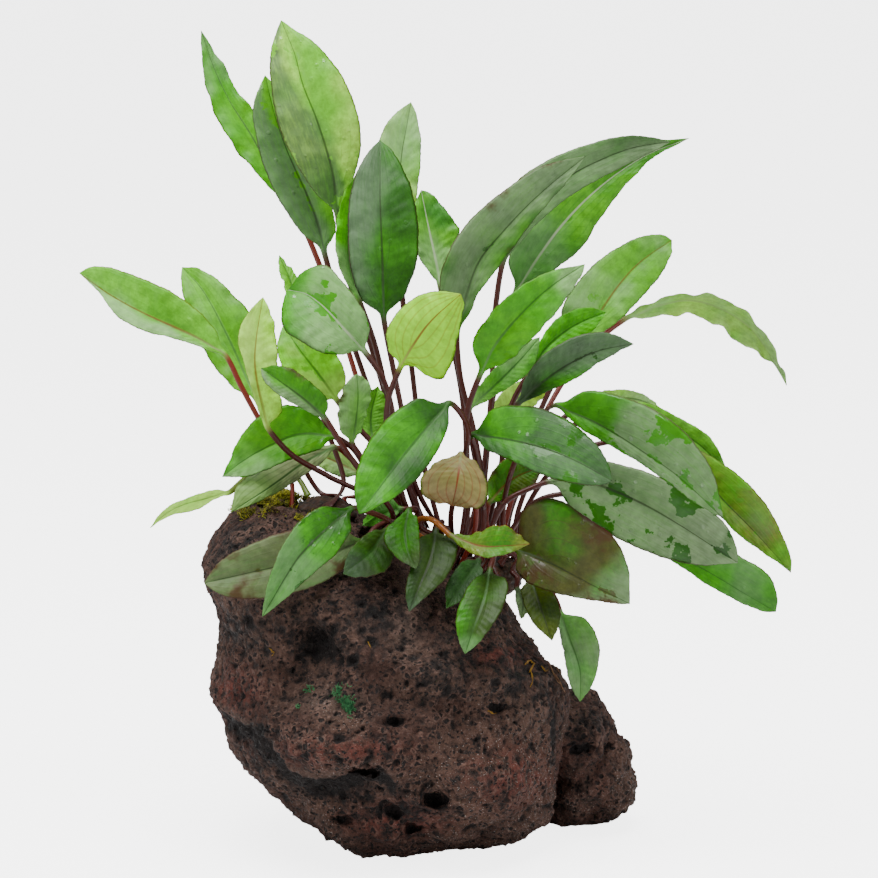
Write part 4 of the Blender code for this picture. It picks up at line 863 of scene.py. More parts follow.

# %% [markdown]
# ## One look for each leaf
#
# A table says how each leaf looks, one leaf to a line and without the word leaf. First come
# five colours of the palette: two greens, the painted sheen, the midrib and the stalk. Then
# come seven amounts: how strongly the veins show, how much painted sheen there is, how far it
# leans to the right half and to the tip, how much is browned, how wet the leaf is, and how
# high its margin ruffles in millimetres. Two small tables after it name the colour of each
# underside that faces the camera, and where two of the leaves start to brown.

# %% Leaf looks
LOOK_TABLE = """
front_broad fresh dark soft green dark 0.22 -0.3 0 0 0 0.1 0.3
red_midrib lime light bright red dark 0.35 0.1 -1 0 0 0.3 0.3
left_browned leafy mid silver dark dark 0.3 0.45 -0.7 0 0.3 0.3 0.3
lower_right_front fresh dark cool dark dark 0.15 0.65 0 0.9 0 0.8 0.25
centre_dark mid dark grey dark dark 0.35 0.5 -0.6 0.3 0 0.3 0.3
right_bright leafy fresh light green dark 0.3 0.4 0.3 0.6 0 0.3 0.4
front_left fresh dark soft dark dark 0.3 0.6 0 0.7 0 0.5 0.3
left_curled light leafy light green dark 0.2 0.65 0 0 0.3 0.3 0.4
centre_left_blunt sea fresh light white dark 0.2 0.7 0 -0.6 0 0.75 0.2
left_pale lime pale bright red dark 0.2 0.2 -1 0 0 0.1 0.4
lower_right_broad fresh mid silver dark dark 0.2 0.55 0 0.9 0 0.6 0.25
front_small mid shade dusk green dark 0.2 -0.1 0 0.8 0 0.1 0.2
front_low mid shade soft green dark 0.25 -0.3 0 1.3 0 0.1 0.2
front_folded mid hay silver red orange 0.3 0.3 0 0 0.45 0.3 0.4
upper_right_grey leafy dark silver dark dark 0.2 0.85 -0.3 0.6 0.3 0.3 0.2
front_blue_green shade deep cool dark dark 0.2 0.05 0 0.9 0 0.2 0.2
front_brownish mid umber silver dark dark 0.5 0.3 0.3 1.3 0.5 0.6 0.3
left_glossy leafy fresh light green dark 0.3 0.4 -0.3 0.3 0 0.6 0.4
centre_left_bright glow light bright green dark 0.3 0.4 0 -0.5 0 0.3 0.3
front_short mid shade cool green dark 0.2 0.4 0 0.8 0 0.2 0.2
front_grey sea olive ash dark dark 0.35 0.75 0 0.4 0.4 0.1 0.2
lower_right_wet fresh dark mist dark dark 0.15 1.0 0 0 0 0.8 0.2
right_shaded leafy fresh light green dark 0.2 0.5 0 0 0 0.3 0.3
front_narrow shade dark cool green dark 0.2 0.4 0 0 0.1 0.2 0.2
mottled_underside hay leafy light red red 0.4 0.0 0 0 0.25 0.0 0.3
low_dark fresh mid soft green dark 0.2 0.3 0 0 0 0.2 0.2
right_dark fresh deep grey dark dark 0.2 0.5 -0.5 0.3 0.1 0.3 0.2
upper_right_middle fresh dark silver dark dark 0.15 0.95 0.3 0 0 0.2 0.2
top_tallest pale light dusk dark dark 0.25 0.75 -1.1 -0.9 0 0.5 0.4
right_green bright fresh soft green dark 0.2 0.0 0 0 0 0.2 0.3
behind_front mid olive soft red red 0.3 0.3 0 0 0.4 0.1 0.3
front_right_small shade olive soft dark dark 0.2 0.15 0 0 0 0.2 0.2
top_dark light leafy grey dark dark 0.3 0.6 -0.8 -0.6 0 0.5 0.3
lower_right_bright fresh mid soft green dark 0.2 0.35 0 0.3 0 0.3 0.3
top_narrow bright leafy light green dark 0.2 0.5 0 0 0 0.2 0.3
top_folded light sea light white dark 0.3 0.6 0 -0.3 0 0.3 0.3
lower_right_olive hay leafy silver dark dark 0.4 0.4 0 0 0.4 0.6 0.2
lower_right_narrow light leafy light green dark 0.2 0.3 0 0 0 0.2 0.3
small_dark light leafy soft green dark 0.2 0.4 0 0 0 0.2 0.3
left_underside leafy mid light green red 0.3 0.4 0 0 0.1 0.3 0.3
far_left light leafy light red red 0.35 0.25 -1 0.5 0 0.3 0.3
front_right_tiny hay grey silver dark dark 0.2 0.7 0 0 0 0.2 0.2
front_right_hanging leafy sea silver green dark 0.35 0.9 0.2 -0.1 0 0.2 0.3
right_veined light leafy light red dark 0.8 0.35 0 0 0 0.2 0.4
right_arching pale light light pale red 0.3 0.5 0 0.2 0 0.2 0.5
left_green light leafy light green dark 0.4 0.25 0 0 0 0.2 0.4
small_bright glow light bright green dark 0.2 0.1 0 0 0 0.2 0.3
top_pale pale light light dark dark 0.4 0.5 0 0.6 0 0.2 0.4
upper_right_back leafy mid soft white dark 0.4 0.1 0 -0.9 0.15 0.3 0.4
top_left leafy fresh soft dark red 0.4 0.4 0 0.4 0 0.2 0.6
left_thin pale light bright green green 0.2 0.5 0 0 0 0.2 0.05
back_left hay pale light red red 0.3 0.6 0 0 0.1 0.2 0.4
back_yellow yellow pale light green dark 0.2 0.3 0 0 0 0.2 0.3
back_right pale light light green dark 0.3 0.6 0 0 0 0.3 0.4
"""
LOOKS = {f"leaf_{name}": look for name, *look in map(str.split, LOOK_TABLE.strip().splitlines())}
UNDERSIDES = {
    "leaf_red_midrib": "lime", "leaf_mottled_underside": "tan", "leaf_left_underside": "dusty",
}
# Where the browning starts: above nought at the margin, below nought in the middle
BROWN_EDGE = 0.12
BROWN_EDGES = {"leaf_front_brownish": 0.08, "leaf_lower_right_olive": -0.1}
AMOUNTS = ("Veining", "Sheen Amount", "Sheen Side", "Sheen Tip", "Browning", "Wet")


def look_of(name):
    """What the skin is told for one leaf, how high it ruffles and if it is turned over."""
    green, second, sheen, rib, stalk, *amounts = LOOKS[name]
    *amounts, ruffle = map(float, amounts)
    green, sheen, turned = GREENS[green], PAINTED_SHEENS[sheen], name in UNDERSIDES
    halfway = tuple((a + b) / 2 for a, b in zip(green, sheen))
    skin = {
        "Green": green, "Second Green": GREENS[second], "Sheen": sheen, "Midrib": RIBS[rib],
        "Stalk": STALKS[stalk], "Brown": BROWN, "Brown Edge": BROWN_EDGES.get(name, BROWN_EDGE),
        "Underside": GREENS[UNDERSIDES[name]] if turned else halfway,
        **dict(zip(AMOUNTS, amounts)),
    }
    return {"skin": skin, "ruffle": ruffle, "turned": turned}


print("looks:", len(LOOKS))

# %% [markdown]
# ## Growing all the leaves
#
# Each leaf gets its own material, made from the shared group with its own look. A coat adds
# the gloss of the wet patches and of the stalk over the duller skin. The seed of a leaf
# comes from how many materials there are already, so each gets another one.

# %% Leaf finish
SEED_STEP, SEED_SPAN = 0.37, 5.0
SKIN_TO_SHADER = (("Colour", "Base Color"), ("Roughness", "Roughness"), ("Wetness", "Coat Weight"))


def leaf_finish(name, look, length_mm):
    made, tree, shader = new_finish(f"{name}_skin")
    skin = tree.add("ShaderNodeGroup", node_tree=leaf_skin)
    seed = (len(bpy.data.materials) * SEED_STEP) % SEED_SPAN
    for label, value in {**look["skin"], "Length": length_mm, "Seed": seed}.items():
        skin.inputs[label].default_value = value
    for result, label in SKIN_TO_SHADER:
        tree.put(shader.inputs[label], skin.outputs[result])
    put_bump(tree, shader, skin.outputs["Height"], strength=0.3, distance=0.0002)
    shader.inputs["Coat Roughness"].default_value = 0.06
    shader.inputs["Specular IOR Level"].default_value = 0.25
    return made


leaves = [
    leaf_piece(name, look_of(name), number, leaf_finish)
    for number, name in enumerate(sorted(LOOKS))
]
print("leaves:", len(leaves), "with", sum(len(o.data.polygons) for o in leaves), "faces")

# %% [markdown]
# ## Marks on the face of the rock
#
# The side of the rock that the picture shows has marks of its own: hollows of a known place
# and size, the lip of a ledge with a shallow cave under it, patches that are worn smooth or
# red, and patches of painted shade. The lip is painted lighter, a painted highlight, and the
# cave darker, a painted shade. They are written as places in the picture, and each point of
# the rock finds out by where it is seen how much it belongs to them. All of them fade out
# where the stone turns away from the camera, and there an even touch of painted shade and of
# red lies instead.

# %% Rock marks
# Hollows: place in the picture, half width and half height in steps, and millimetres out
ROCK_MARKS = (
    ((317, 650), (18, 14), -1.5), ((436, 800), (13, 9), -1.3), ((412, 829), (9, 6), -1.1),
    ((395, 811), (12, 7), -1.1), ((342, 820), (16, 4), -0.9), ((392, 722), (15, 4), -1.1),
    ((497, 707), (13, 3), -1.1), ((240, 695), (6, 5), -1.3), ((583, 749), (18, 5), -1.2),
    ((362, 771), (15, 6), -1.3), ((258, 731), (13, 7), -1.0), ((555, 735), (5, 34), -0.6),
    ((474, 828), (8, 4), -0.9), ((552, 806), (10, 3), -0.8), ((303, 758), (7, 3), -0.8),
    ((385, 696), (9, 4), -0.7), ((448, 692), (6, 10), -0.7), ((285, 800), (4, 8), -0.7),
)
# The lip of the ledge in the picture, from the left edge to the middle of the face
LIP_ACROSS = (213, 235, 260, 275, 290, 320, 345, 365, 380, 402)
LIP_DOWN = (703, 720, 735, 750, 772, 780, 775, 766, 768, 786)
# The lip lies a little above that line and the cave below it, each this high, in steps
LIP_RISE, LIP_HIGH, CAVE_DROP, CAVE_HIGH = 4, 4.5, 8, 8.5
# Where the crust is worn smooth and grey, where it is red, and where shade is painted on it
WORN = (((408, 622), (18, 34)), ((583, 790), (18, 20)), ((330, 700), (40, 12)))
REDDISH = (
    ((340, 752), (60, 14)), ((583, 790), (20, 20)), ((500, 655), (30, 12)),
    ((515, 775), (46, 28)), ((235, 690), (24, 20)), ((400, 820), (50, 16)),
)
SHADED = (
    ((240, 628), (44, 24)), ((322, 640), (46, 34)), ((525, 668), (36, 32)),
    ((345, 792), (58, 13)), ((266, 762), (26, 22)), ((588, 722), (20, 14)),
    ((490, 615), (30, 18)), ((405, 812), (46, 12)), ((250, 732), (26, 9)),
    ((232, 545), (34, 34)), ((372, 620), (34, 34)), ((450, 660), (26, 34)),
)


def seen_at(point):
    """Where in the picture a point is seen: across and down in steps."""
    offset = point - AIM
    spread = 1 + offset.dot(AWAY) / DISTANCE
    middle = PICTURE_STEPS / 2
    return (middle + offset.dot(RIGHT) / spread / STEP,
            middle - offset.dot(UP) / spread / STEP)


def ledge(across, down):
    """How much a place in the picture belongs to the ledge's lip and to the cave under it."""
    if not LIP_ACROSS[0] < across < LIP_ACROSS[-1]:
        return 0.0, 0.0
    below = down - float(np.interp(across, LIP_ACROSS, LIP_DOWN))
    fade = min(1.0, (LIP_ACROSS[-1] - across) / 12, (across - LIP_ACROSS[0]) / 8)
    lip = math.exp(-(((below + LIP_RISE) / LIP_HIGH) ** 2))
    cave = math.exp(-(((below - CAVE_DROP) / CAVE_HIGH) ** 2))
    return fade * lip, fade * cave


def near_any(places, across, down):
    """How near a place in the picture is to the middle of any of these patches, 0 to 1."""
    return max(
        math.exp(-(((across - x) / wide) ** 2 + ((down - y) / high) ** 2))
        for (x, y), (wide, high) in places
    )


def faces_camera(point, normal):
    """How much a point belongs to the face of the rock, 0 to 1."""
    turned = (0.15 - normal.dot(AWAY)) / 0.5
    forward = (0.03 - point.y) / 0.01
    return max(0.0, min(1.0, turned, forward))


print("hollows on the face:", len(ROCK_MARKS))

# %% [markdown]
# ## Pores and crust
#
# Lava cools full of gas, so the stone is a foam of open pores with a rough crust between
# them. The solid has the lumps, the ledge and the larger holes. A remesh lays an even net
# of small faces over it, and each point moves along its own normal: out for the crust and
# the lip, in for the pores, the hollows and the cave. The pores come from cells of random
# size, so no two are alike. The flat foot stays as it is, because the rock stands on it.

# %% Rock shape
ROCK_VOXEL = 0.0007
FOOT_TOP, FOOT_FADE = 0.0003, 0.0012
# How far the surface moves for each of these, in millimetres
CRUST_OUT, LIP_OUT = 0.6, 0.7
GRAIN_IN, HOLE_IN, SMALL_HOLE_IN, CAVE_IN = 0.8, 1.2, 1.0, 0.9


def pore(place_mm, cell_mm, radius_mm, share, shift):
    """How deep inside a pore of a random size a point lies, from 0 to 1."""
    distances, centres = noise.voronoi(place_mm / cell_mm + shift)
    size = noise.cell(centres[0] * 7.31) * 0.5 + 0.5
    if size > share:
        return 0.0
    radius = radius_mm * (0.55 + 0.9 * size / share) / cell_mm
    return max(0.0, min(1.0, (1 - distances[0] / radius) * 1.8))


def even_net(name, voxel):
    """A closed copy of a node with faces of one size all over."""
    bm = merged(name)
    mesh = bpy.data.meshes.new(f"{name}_copy")
    bm.to_mesh(mesh)
    bm.free()
    source = shown(f"{name}_copy", mesh)
    remesh = source.modifiers.new("net", "REMESH")
    remesh.mode = "VOXEL"
    remesh.voxel_size = voxel
    graph = bpy.context.evaluated_depsgraph_get()
    shaped = bpy.data.meshes.new_from_object(source.evaluated_get(graph))
    bpy.data.objects.remove(source)
    return shaped


def hollows(across, down, crust):
    """How far out each hollow near a place moves it, and how far off its middle that is."""
    for (x, y), (wide, high), move in ROCK_MARKS:
        near = ((across - x) / wide) ** 2 + ((down - y) / high) ** 2
        near *= max(0.2, 1 + 0.9 * crust)
        if near < 5:
            yield move, near


def weathered(point, normal):
    """How far out a point moves in mm; its painted shade, its wear and painted highlight, its red.
    """
    across, down = seen_at(point)
    front = faces_camera(point, normal)
    worn = front * near_any(WORN, across, down)
    red = front * near_any(REDDISH, across, down) + 0.3 * (1 - front)
    # Painted shade: the listed patches, and an even touch on the sides turned away
    shade = front * near_any(SHADED, across, down) + 0.25 * (1 - front)
    lip, cave = (front * amount for amount in ledge(across, down))
    mm = point * 1000
    crust = noise.fractal(mm / 2.9 + Vector((4.0, 9.0, 2.0)), 0.5, 2.2, 4)
    grain = noise.voronoi(mm / 1.9 + Vector((2.0, 3.0, 5.0)))[0][0]
    patch = noise.noise(mm / 15.0 + Vector((1.0, 6.0, 3.0)))
    warped = mm + 0.5 * noise.noise_vector(mm / 1.3)
    holes = pore(warped, 6.0, 1.35, 0.24 + 0.3 * patch, Vector((0.3, 0.1, 0.7)))
    small = pore(warped, 2.5, 0.75, 0.52 + 0.5 * patch, Vector((5.3, 2.1, 8.7)))
    calm = 1 - 0.6 * worn
    out = calm * (CRUST_OUT * crust - GRAIN_IN * (grain - 0.3))
    out -= (HOLE_IN * holes + SMALL_HOLE_IN * small) * calm
    out += LIP_OUT * lip - CAVE_IN * cave
    if front > 0:
        for move, near in hollows(across, down, crust):
            out += front * move * math.exp(-1.2 * near)
            holes = max(holes, front * math.exp(-2.2 * near))
    # deep is painted shade: dark in the pores, the low crust, the cave and the shaded patches,
    # lighter on the lip
    deep = max(holes, 0.6 * small) * calm + max(0.0, -0.5 * crust) + 0.7 * (grain - 0.42)
    deep = max(deep, 0.95 * cave) + (0.42 + 0.2 * crust) * shade - 0.2 * lip
    # The lip also takes the worn colour, a painted highlight
    return out, (min(1.0, max(0.0, deep)), max(worn, 0.6 * lip), red)


print("faces of the net are", round(ROCK_VOXEL * 1000, 2), "mm wide")

# %% [markdown]
# ## Moving the points
#
# How much painted shade a point gets is kept with the mesh under the name deep, and so is how
# worn it is, with the ledge's lip added as a painted highlight, and how red it is. The
# material reads all three. The vector noise that bends the pores draws its offsets from a
# seed, which is the clock unless it is set, so it is set here to get the same rock each
# time.

# %% Weathering
ROCK_SEED = 7


def weather_rock(mesh):
    """Moves every point of the rock; returns its painted shade, wear and painted highlight, and red.
    """
    notes = np.zeros((len(mesh.vertices), 3), np.float32)
    places = np.zeros_like(notes)
    for number, vertex in enumerate(mesh.vertices):
        point, normal = vertex.co, vertex.normal
        out, notes[number] = weathered(point, normal)
        out *= min(1.0, max(0.0, (point.z - FOOT_TOP) / FOOT_FADE))
        moved = point + normal * (out / 1000)
        moved.z = max(moved.z, 0.0) if point.z > FOOT_TOP else point.z
        places[number] = moved
    mesh.vertices.foreach_set("co", places.ravel())
    mesh.update()
    return notes


noise.seed_set(ROCK_SEED)
rock_mesh = even_net("rock", ROCK_VOXEL)
rock_notes = weather_rock(rock_mesh)
# deep holds painted shade, and worn also holds the lip's painted highlight
for label, values in zip(("deep", "worn", "red"), rock_notes.T):
    keep_field(rock_mesh, label, values)
smooth(rock_mesh)
print("rock:", len(rock_mesh.polygons), "faces, pores over",
      round(float((rock_notes[:, 0] > 0.4).mean()), 2))

# %% [markdown]
# ## Lava stone
#
# The stone is dark brown with a touch of red and greyer where the crust is worn, and painted
# shade makes it nearly black in the pores. It is wet, and very small painted glints, glossier
# than the rest, stand for the points of it that shine, most of all near the floor. The colour
# mixes two browns by slow noise and lays the patches, the grit and the painted shade kept
# with the mesh over them. Two layers of small cells add the pores that are too fine for the
# mesh, painted dark as shade, the wider ones with a pale rim that is a painted highlight. The
# cells are bent by noise, because no pore is a perfect circle, and the bump follows them.

# %% Lava stone finish
BEND_OF_CELLS = 0.0016


def fine_pores(tree, place):
    """Pores of two sizes painted dark as shade, painted highlights on wider rims, and the bent
    place.
    """
    bend = tree.add("ShaderNodeVectorMath", operation="MULTIPLY_ADD")
    tree.put(bend.inputs[0], tree.noise(place, 700.0, 2.0, 0.5, "Color"))
    tree.put(bend.inputs[1], (BEND_OF_CELLS,) * 3)
    tree.put(bend.inputs[2], place)
    bent = bend.outputs[0]
    # The fine pores, which the colour paints dark as shade
    pores_painted_dark = tree.ramp(tree.cells(bent, 900.0), 0.22, 0.36, 1.0, 0.0)
    pores_painted_dark = tree.times(pores_painted_dark, tree.ramp(tree.noise(place, 300.0, 2.0, 0.5), 0.42, 0.54))
    wide = tree.cells(bent, 430.0)
    there = tree.ramp(tree.noise(place, 130.0, 2.0, 0.5), 0.44, 0.54)
    pores_painted_dark = tree.larger(pores_painted_dark, tree.times(tree.ramp(wide, 0.18, 0.28, 1.0, 0.0), there))
    # A pale rim round the wider pores, a painted highlight
    rim = tree.times(tree.ramp(wide, 0.28, 0.36), tree.ramp(wide, 0.36, 0.50, 1.0, 0.0))
    return pores_painted_dark, tree.times(tree.times(rim, there), 0.4), bent


def lava_finish():
    made, tree, shader = new_finish("lava_stone_wet")
    place = tree.place()
    deep, worn, red = (tree.field(label) for label in ("deep", "worn", "red"))
    slow = tree.noise(place, 60.0, 3.0, 0.6)
    grit = tree.noise(place, 900.0, 4.0, 0.7)
    spots = tree.noise(place, 330.0, 4.0, 0.7)
    pores_painted_dark, rim, bent = fine_pores(tree, place)
    low = tree.add("ShaderNodeSeparateXYZ")
    tree.put(low.inputs[0], place)
    # Painted glints: pale dots in the colour, fewer higher up, and glossier too
    painted_glint = tree.ramp(tree.noise(place, 2300.0, 1.0, 0.5), 0.66, 0.72)
    painted_glint = tree.times(painted_glint, tree.ramp(slow, 0.40, 0.6))
    painted_glint = tree.times(painted_glint, tree.ramp(low.outputs[2], 0.02, 0.06, 1.0, 0.15))
    # Painted shade from the deep field, broken up by noise
    uneven_painted_shade = tree.times_plus(spots, -1.0, tree.math("ADD", deep, 0.5))
    colour = tree.mix(tree.ramp(slow, 0.35, 0.65), tone(62, 38, 29), tone(82, 59, 48))
    colour = tree.layers(colour, (
        (tree.times(tree.times(red, 0.75), tree.ramp(spots, 0.36, 0.6)), tone(106, 46, 36)),
        # worn also holds the ledge lip's painted highlight
        (tree.times(worn, 0.75), tone(84, 68, 59)),
        (tree.ramp(spots, 0.54, 0.72, 0.0, 0.45), tone(122, 92, 80)),
        (tree.ramp(spots, 0.30, 0.48, 0.8, 0.0), tone(20, 12, 10)),
        (tree.ramp(grit, 0.30, 0.47, 0.7, 0.0), tone(14, 9, 7)),
        # A painted highlight on the pore rims, painted shade in the fine pores and from deep, then
        # painted glints
        (rim, tone(128, 98, 86)),
        (tree.times(pores_painted_dark, 0.9), tone(9, 6, 5)),
        (tree.ramp(uneven_painted_shade, 0.10, 0.78, 0.0, 0.95), tone(9, 5, 4)),
        (tree.times(painted_glint, tree.ramp(deep, 0.1, 0.4, 0.6, 0.0)), tone(196, 184, 176)),
    ))
    height = tree.times_plus(spots, 2.4, tree.times_plus(pores_painted_dark, -2.6, grit))
    height = tree.times_plus(tree.noise(bent, 170.0, 3.0, 0.6), 3.0, height)
    rough = tree.times_plus(painted_glint, -0.2, tree.ramp(grit, 0.5, 0.72, 0.8, 0.35))
    put_bump(tree, shader, height, strength=1.0, distance=0.0008)
    tree.put(shader.inputs["Base Color"], colour)
    tree.put(shader.inputs["Roughness"], rough)
    shader.inputs["Specular IOR Level"].default_value = 0.35
    return made


rock_mesh.materials.clear()
rock_mesh.materials.append(lava_finish())
rock = shown("lava_rock", rock_mesh)
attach(rock, "root")
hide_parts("rock")
print("rock box", [round(v, 4) for v in rock.dimensions])

# %% [markdown]
# ## Finding a place on the rock
#
# Moss, algae and fine roots all need a place on the weathered rock that is seen at a given
# place in the picture. A search tree over the rock's faces finds it by following the sight
# line from the camera until it meets the stone.

# %% Places on the rock


def search_tree(mesh):
    bm = bmesh.new()
    bm.from_mesh(mesh)
    tree = BVHTree.FromBMesh(bm)
    bm.free()
    return tree


rock_tree = search_tree(rock_mesh)


def on_rock(across, down):
    """The place and the direction of the rock's skin that is seen at a place in the picture."""
    towards = (spot(across, down) - EYE).normalized()
    place, normal, _, _ = rock_tree.ray_cast(EYE, towards)
    return place, normal


print("hollow of the rock at", [round(c, 4) for c in on_rock(315, 646)[0]])

# %% [markdown]
# ## Threads and simple finishes
#
# The small growths are thin tapering threads along a few points. Each is a strip of
# three-sided rings, because nobody sees how round a thread of a quarter of a millimetre is.
# Their finishes are plain too: two or three colours mixed by noise.

# %% Threads


def add_thread(bm, points, radius, tip=0.35, sides=3):
    """A closed thin thread through the points, narrowing to its tip."""
    last, count = None, len(points)
    for k, point in enumerate(points):
        ahead = points[min(k + 1, count - 1)] - points[max(k - 1, 0)]
        turn = ahead.to_track_quat("Z", "Y")
        size = radius * (1 - (1 - tip) * k / (count - 1))
        ring = [
            bm.verts.new(point + turn @ Vector((math.cos(a) * size, math.sin(a) * size, 0.0)))
            for a in (2 * math.pi * s / sides for s in range(sides))
        ]
        if last is None:
            bm.faces.new(ring[::-1])
        else:
            for s in range(sides):
                bm.faces.new((last[s], last[(s + 1) % sides], ring[(s + 1) % sides], ring[s]))
        last = ring
    bm.faces.new(last)


def add_piece(name, bm, finish, replaces=None):
    """Turns a bmesh into a smooth piece that rides on the rock."""
    mesh = bpy.data.meshes.new(name)
    bm.to_mesh(mesh)
    bm.free()
    smooth(mesh)
    mesh.materials.append(finish)
    piece = shown(name, mesh)
    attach(piece, "root")
    if replaces:
        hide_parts(replaces)
    return piece


def mottled(name, first, second, scale, rough=0.6, third=None):
    """A plain finish of two or three colours mixed by noise."""
    made, tree, shader = new_finish(name)
    place = tree.place()
    colour = tree.mix(tree.ramp(tree.noise(place, scale, 3.0, 0.6), 0.38, 0.62), first, second)
    if third:
        patches = tree.ramp(tree.noise(place, scale * 0.37, 3.0, 0.6), 0.52, 0.62)
        colour = tree.mix(patches, colour, third)
    tree.put(shader.inputs["Base Color"], colour)
    shader.inputs["Roughness"].default_value = rough
    shader.inputs["Specular IOR Level"].default_value = 0.3
    return made


print("pieces so far:", len(leaves) + 1)

# %% [markdown]
# ## Moss
#
# A thin mat of moss covers the rock's upper left rim. The solid has it as a pad. Here it is
# a crowd of short, bent threads that start in the rock's skin and end near the pad's
# surface. More of them fringe the rim, where noise leaves gaps, and a few thicker sprouts
# stand up from it. The colours run from yellow green over olive to brown. Each thread is
# modelled, because hair would not be exported.

# %% Moss threads
PAD_THREADS, RIM_THREADS = 2600, 2800
MOSS_RADIUS, MOSS_ROOTED, MOSS_BEND, MOSS_LEAN = 0.00013, 0.0003, 0.0005, 0.0007
# The rim from left to right in the picture, and how many steps below the edge threads start
MOSS_RIM, FRINGE = (240, 336), (0.0, 22.0, 4.0)
RIM_ROWS, FRINGE_STANDS = (480, 560), 0.0009
# Where across the picture the sprouts stand, and how thick and how high they are
SPROUTS = (313, 316, 320, 323, 297, 284)
SPROUT_RADIUS, SPROUT_HIGH, SPROUT_SWAY = 0.00022, (0.0022, 0.0034), 0.0012


def rim_row(across):
    """The first row of the picture in which the rock is seen in this column."""
    return next((row for row in range(*RIM_ROWS) if on_rock(across, row)[0] is not None), None)


def pad_tops(pad, rng):
    """Random places on the upper side of the pad, as many on each bit as it is large."""
    bmesh.ops.triangulate(pad, faces=pad.faces)
    upward = [f for f in pad.faces if f.normal.z > 0.2]
    areas = [f.calc_area() for f in upward]
    tops = []
    for face in rng.choices(upward, weights=areas, k=PAD_THREADS):
        a, b, c = (v.co for v in face.verts)
        r, s = sorted((rng.random(), rng.random()))
        tops.append((a * r + b * (s - r) + c * (1 - s), face.normal))
    return tops


def rim_tops(edge, rng):
    """Random places just off the rock along its rim."""
    tops = []
    for _ in range(RIM_THREADS):
        across = rng.uniform(*MOSS_RIM)
        place, normal = on_rock(across, edge[int(across)] + rng.triangular(*FRINGE))
        if place is not None and noise.noise(place * 180) > -0.1:
            tops.append((place + normal * FRINGE_STANDS, normal))
    return tops


def moss_crowd():
    rng = random.Random(11)
    bm, pad = bmesh.new(), merged("moss_pad")
    edge = {column: rim_row(column) for column in range(MOSS_RIM[0], MOSS_RIM[1] + 1)}
    tops = pad_tops(pad, rng) + rim_tops(edge, rng)
    for column in SPROUTS:
        place, _ = on_rock(column, edge[column] + 2)
        sway = Vector((rng.uniform(-1, 1), rng.uniform(-0.5, 0.5), 0.0)) * SPROUT_SWAY
        up = Vector((0.0, 0.0, rng.uniform(*SPROUT_HIGH)))
        way = [place, place + up * 0.5 + sway * 0.2, place + up + sway]
        add_thread(bm, way, SPROUT_RADIUS, tip=0.7, sides=5)
    for top, facing in tops:
        below, normal, _, _ = rock_tree.find_nearest(top)
        lean = Vector((rng.uniform(-1, 1), rng.uniform(-1, 1), rng.uniform(-0.3, 0.5)))
        high = top + lean * MOSS_LEAN + facing * rng.uniform(-0.0004, 0.0004)
        start = below - normal * MOSS_ROOTED
        aside = Vector((rng.uniform(-1, 1), rng.uniform(-1, 1), 0.3)) * MOSS_BEND
        way = [start, (start + high) / 2 + aside, high]
        add_thread(bm, way, MOSS_RADIUS * rng.uniform(0.7, 1.3), tip=0.4)
    pad.free()
    return bm


moss = add_piece(
    "moss_threads", moss_crowd(),
    mottled("moss_mix", tone(178, 172, 44), tone(104, 108, 24), 700.0, 0.6, tone(70, 54, 20)),
    "moss_pad",
)
print("moss:", len(moss.data.polygons), "faces")

# %% [markdown]
# ## Rootstocks
#
# The stalks rise from three short rootstocks that grip the top of the rock. On a real plant
# they are knobbly and brown, with the rings of old leaf bases. The solid ones are lumps, so
# an even net, a little noise and a ridged pattern make the rings.

# %% Rootstock shape
STOCK_VOXEL = 0.0005
RIDGE_MM, KNOB_MM = 0.22, 0.35


def grow_rootstock(node):
    mesh = even_net(node, STOCK_VOXEL)
    for vertex in mesh.vertices:
        mm = vertex.co * 1000
        ridge = math.sin(mm.z * 3.2 + 2.2 * noise.noise(mm / 3.0))
        out = RIDGE_MM * ridge + KNOB_MM * noise.fractal(mm / 1.6, 0.7, 2.1, 3)
        vertex.co += vertex.normal * (out / 1000)
    bm = bmesh.new()
    bm.from_mesh(mesh)
    return bm


bark = mottled("rootstock_bark", tone(40, 26, 18), tone(70, 44, 28), 500.0, 0.55, tone(24, 16, 10))
for side in ("left", "middle", "right"):
    stock = add_piece(f"rootstock_{side}", grow_rootstock(f"crown_{side}"), bark,
                      f"crown_{side}")
    print(stock.name, len(stock.data.polygons), "faces")

# %% [markdown]
# ## Algae
#
# Four patches of blue green algae sit on the left of the face, two of them dense and two
# with only a few tufts. Each tuft is a short thread that leans any way. Noise keeps some
# places bare, so the patches have ragged outlines.

# %% Algae
# Middle of each patch in the picture, its half width and half height, and how many threads
PATCHES = (
    ((343, 693), (8, 7), 420), ((348, 705), (6, 9), 330), ((309, 691), (6, 4), 40),
    ((296, 708), (4, 4), 25),
)
ALGAE_RADIUS, ALGAE_LEAN, ALGAE_HIGH = 0.00013, 0.0006, 0.0005


def algae_tuft():
    rng = random.Random(5)
    bm = bmesh.new()
    for (x, y), (wide, high), count in PATCHES:
        for _ in range(count):
            across, down = rng.gauss(x, wide / 2), rng.gauss(y, high / 2)
            place, normal = on_rock(across, down)
            if noise.noise(place * 420) < -0.12:
                continue
            lean = Vector((rng.uniform(-1, 1), rng.uniform(-1, 1), rng.uniform(-1, 1))) * ALGAE_LEAN
            bend = place + normal * 0.0003 + lean * 0.5
            end = place + normal * ALGAE_HIGH + lean
            add_thread(bm, [place - normal * 0.0002, bend, end], ALGAE_RADIUS, tip=0.6)
    return bm


tuft = add_piece(
    "algae_tuft", algae_tuft(),
    mottled("algae", tone(30, 82, 46), tone(72, 134, 84), 900.0, 0.6),
)
print("algae:", len(tuft.data.polygons), "faces")

# %% [markdown]
# ## Threads and roots that creep over the stone
#
# Yellow moss threads lie here and there on the face, most of them on the right, and brown
# roots run down the stone in two places below the leaves. Both pass through places of the
# picture and follow the stone a fraction of a millimetre above it. A step that would jump
# too far over the stone is left out. Every yellow thread is made twice, a little apart.

# %% Creeping threads
LONGEST_STEP = 0.003
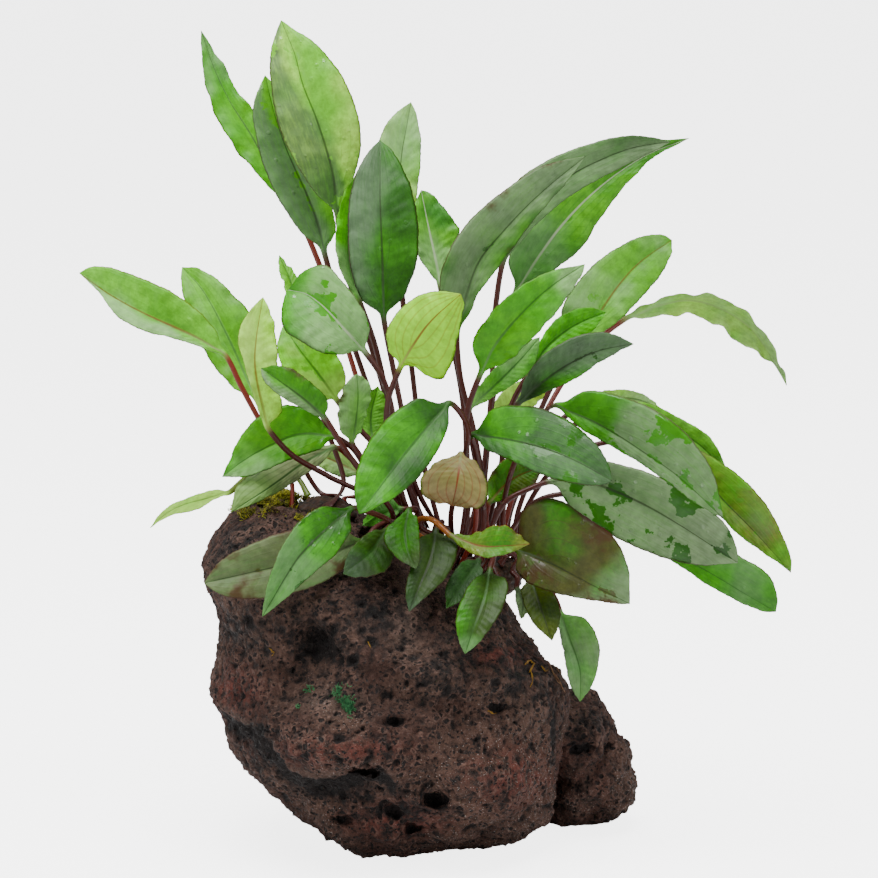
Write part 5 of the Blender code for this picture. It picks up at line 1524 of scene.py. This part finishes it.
# How many steps of the picture a thread strays from its way
WANDER = 0.8
# Radius, and the places in the picture that the thread passes
YELLOW = (
    (0.00022, ((525, 664), (530, 661), (534, 664), (531, 671), (533, 680), (529, 690))),
    (0.00016, ((531, 668), (529, 676), (531, 684))),
    (0.00014, ((541, 666), (545, 671), (548, 670))),
    (0.00014, ((270, 648), (274, 653), (271, 658))),
    (0.00012, ((488, 711), (493, 714), (498, 712))),
    (0.00010, ((368, 642), (371, 650))),
)
ROOTS = tuple((0.0002, marks) for marks in (
    ((556, 668), (562, 676), (568, 690), (572, 700)), ((552, 672), (560, 684), (566, 696)),
    ((560, 664), (566, 672), (570, 684)), ((548, 664), (556, 680), (563, 688)),
    ((508, 566), (512, 578), (514, 590), (510, 602)), ((514, 568), (518, 582), (516, 598)),
    ((504, 570), (502, 584), (506, 596)),
))


def creeping(bm, marks, radius, lift, rng):
    """A thread that follows the rock through places of the picture."""
    points = []
    for (x0, y0), (x1, y1) in zip(marks, marks[1:]):
        for t in (0.0, 0.33, 0.67):
            x = x0 + (x1 - x0) * t + rng.uniform(-WANDER, WANDER)
            y = y0 + (y1 - y0) * t + rng.uniform(-WANDER, WANDER)
            place, normal = on_rock(x, y)
            if place is None or points and (place - points[-1]).length > LONGEST_STEP:
                break
            points.append(place + normal * lift)
    if len(points) > 1:
        add_thread(bm, points, radius, tip=0.5, sides=4)


def creepers(threads, lift, times, seed):
    """All the threads of one kind in one bmesh."""
    rng = random.Random(seed)
    bm = bmesh.new()
    for radius, marks in threads:
        for _ in range(times):
            creeping(bm, marks, radius, lift, rng)
    return bm


threads = add_piece(
    "yellow_moss_threads", creepers(YELLOW, lift=0.00015, times=2, seed=8),
    mottled("yellow_moss", tone(104, 72, 18), tone(146, 108, 32), 800.0, 0.6),
)
roots = add_piece(
    "fine_roots", creepers(ROOTS, lift=0.0003, times=1, seed=9),
    mottled("root_skin", tone(96, 58, 36), tone(140, 104, 72), 600.0, 0.5),
)
print("creeping threads:", [len(o.data.polygons) for o in (threads, roots)])
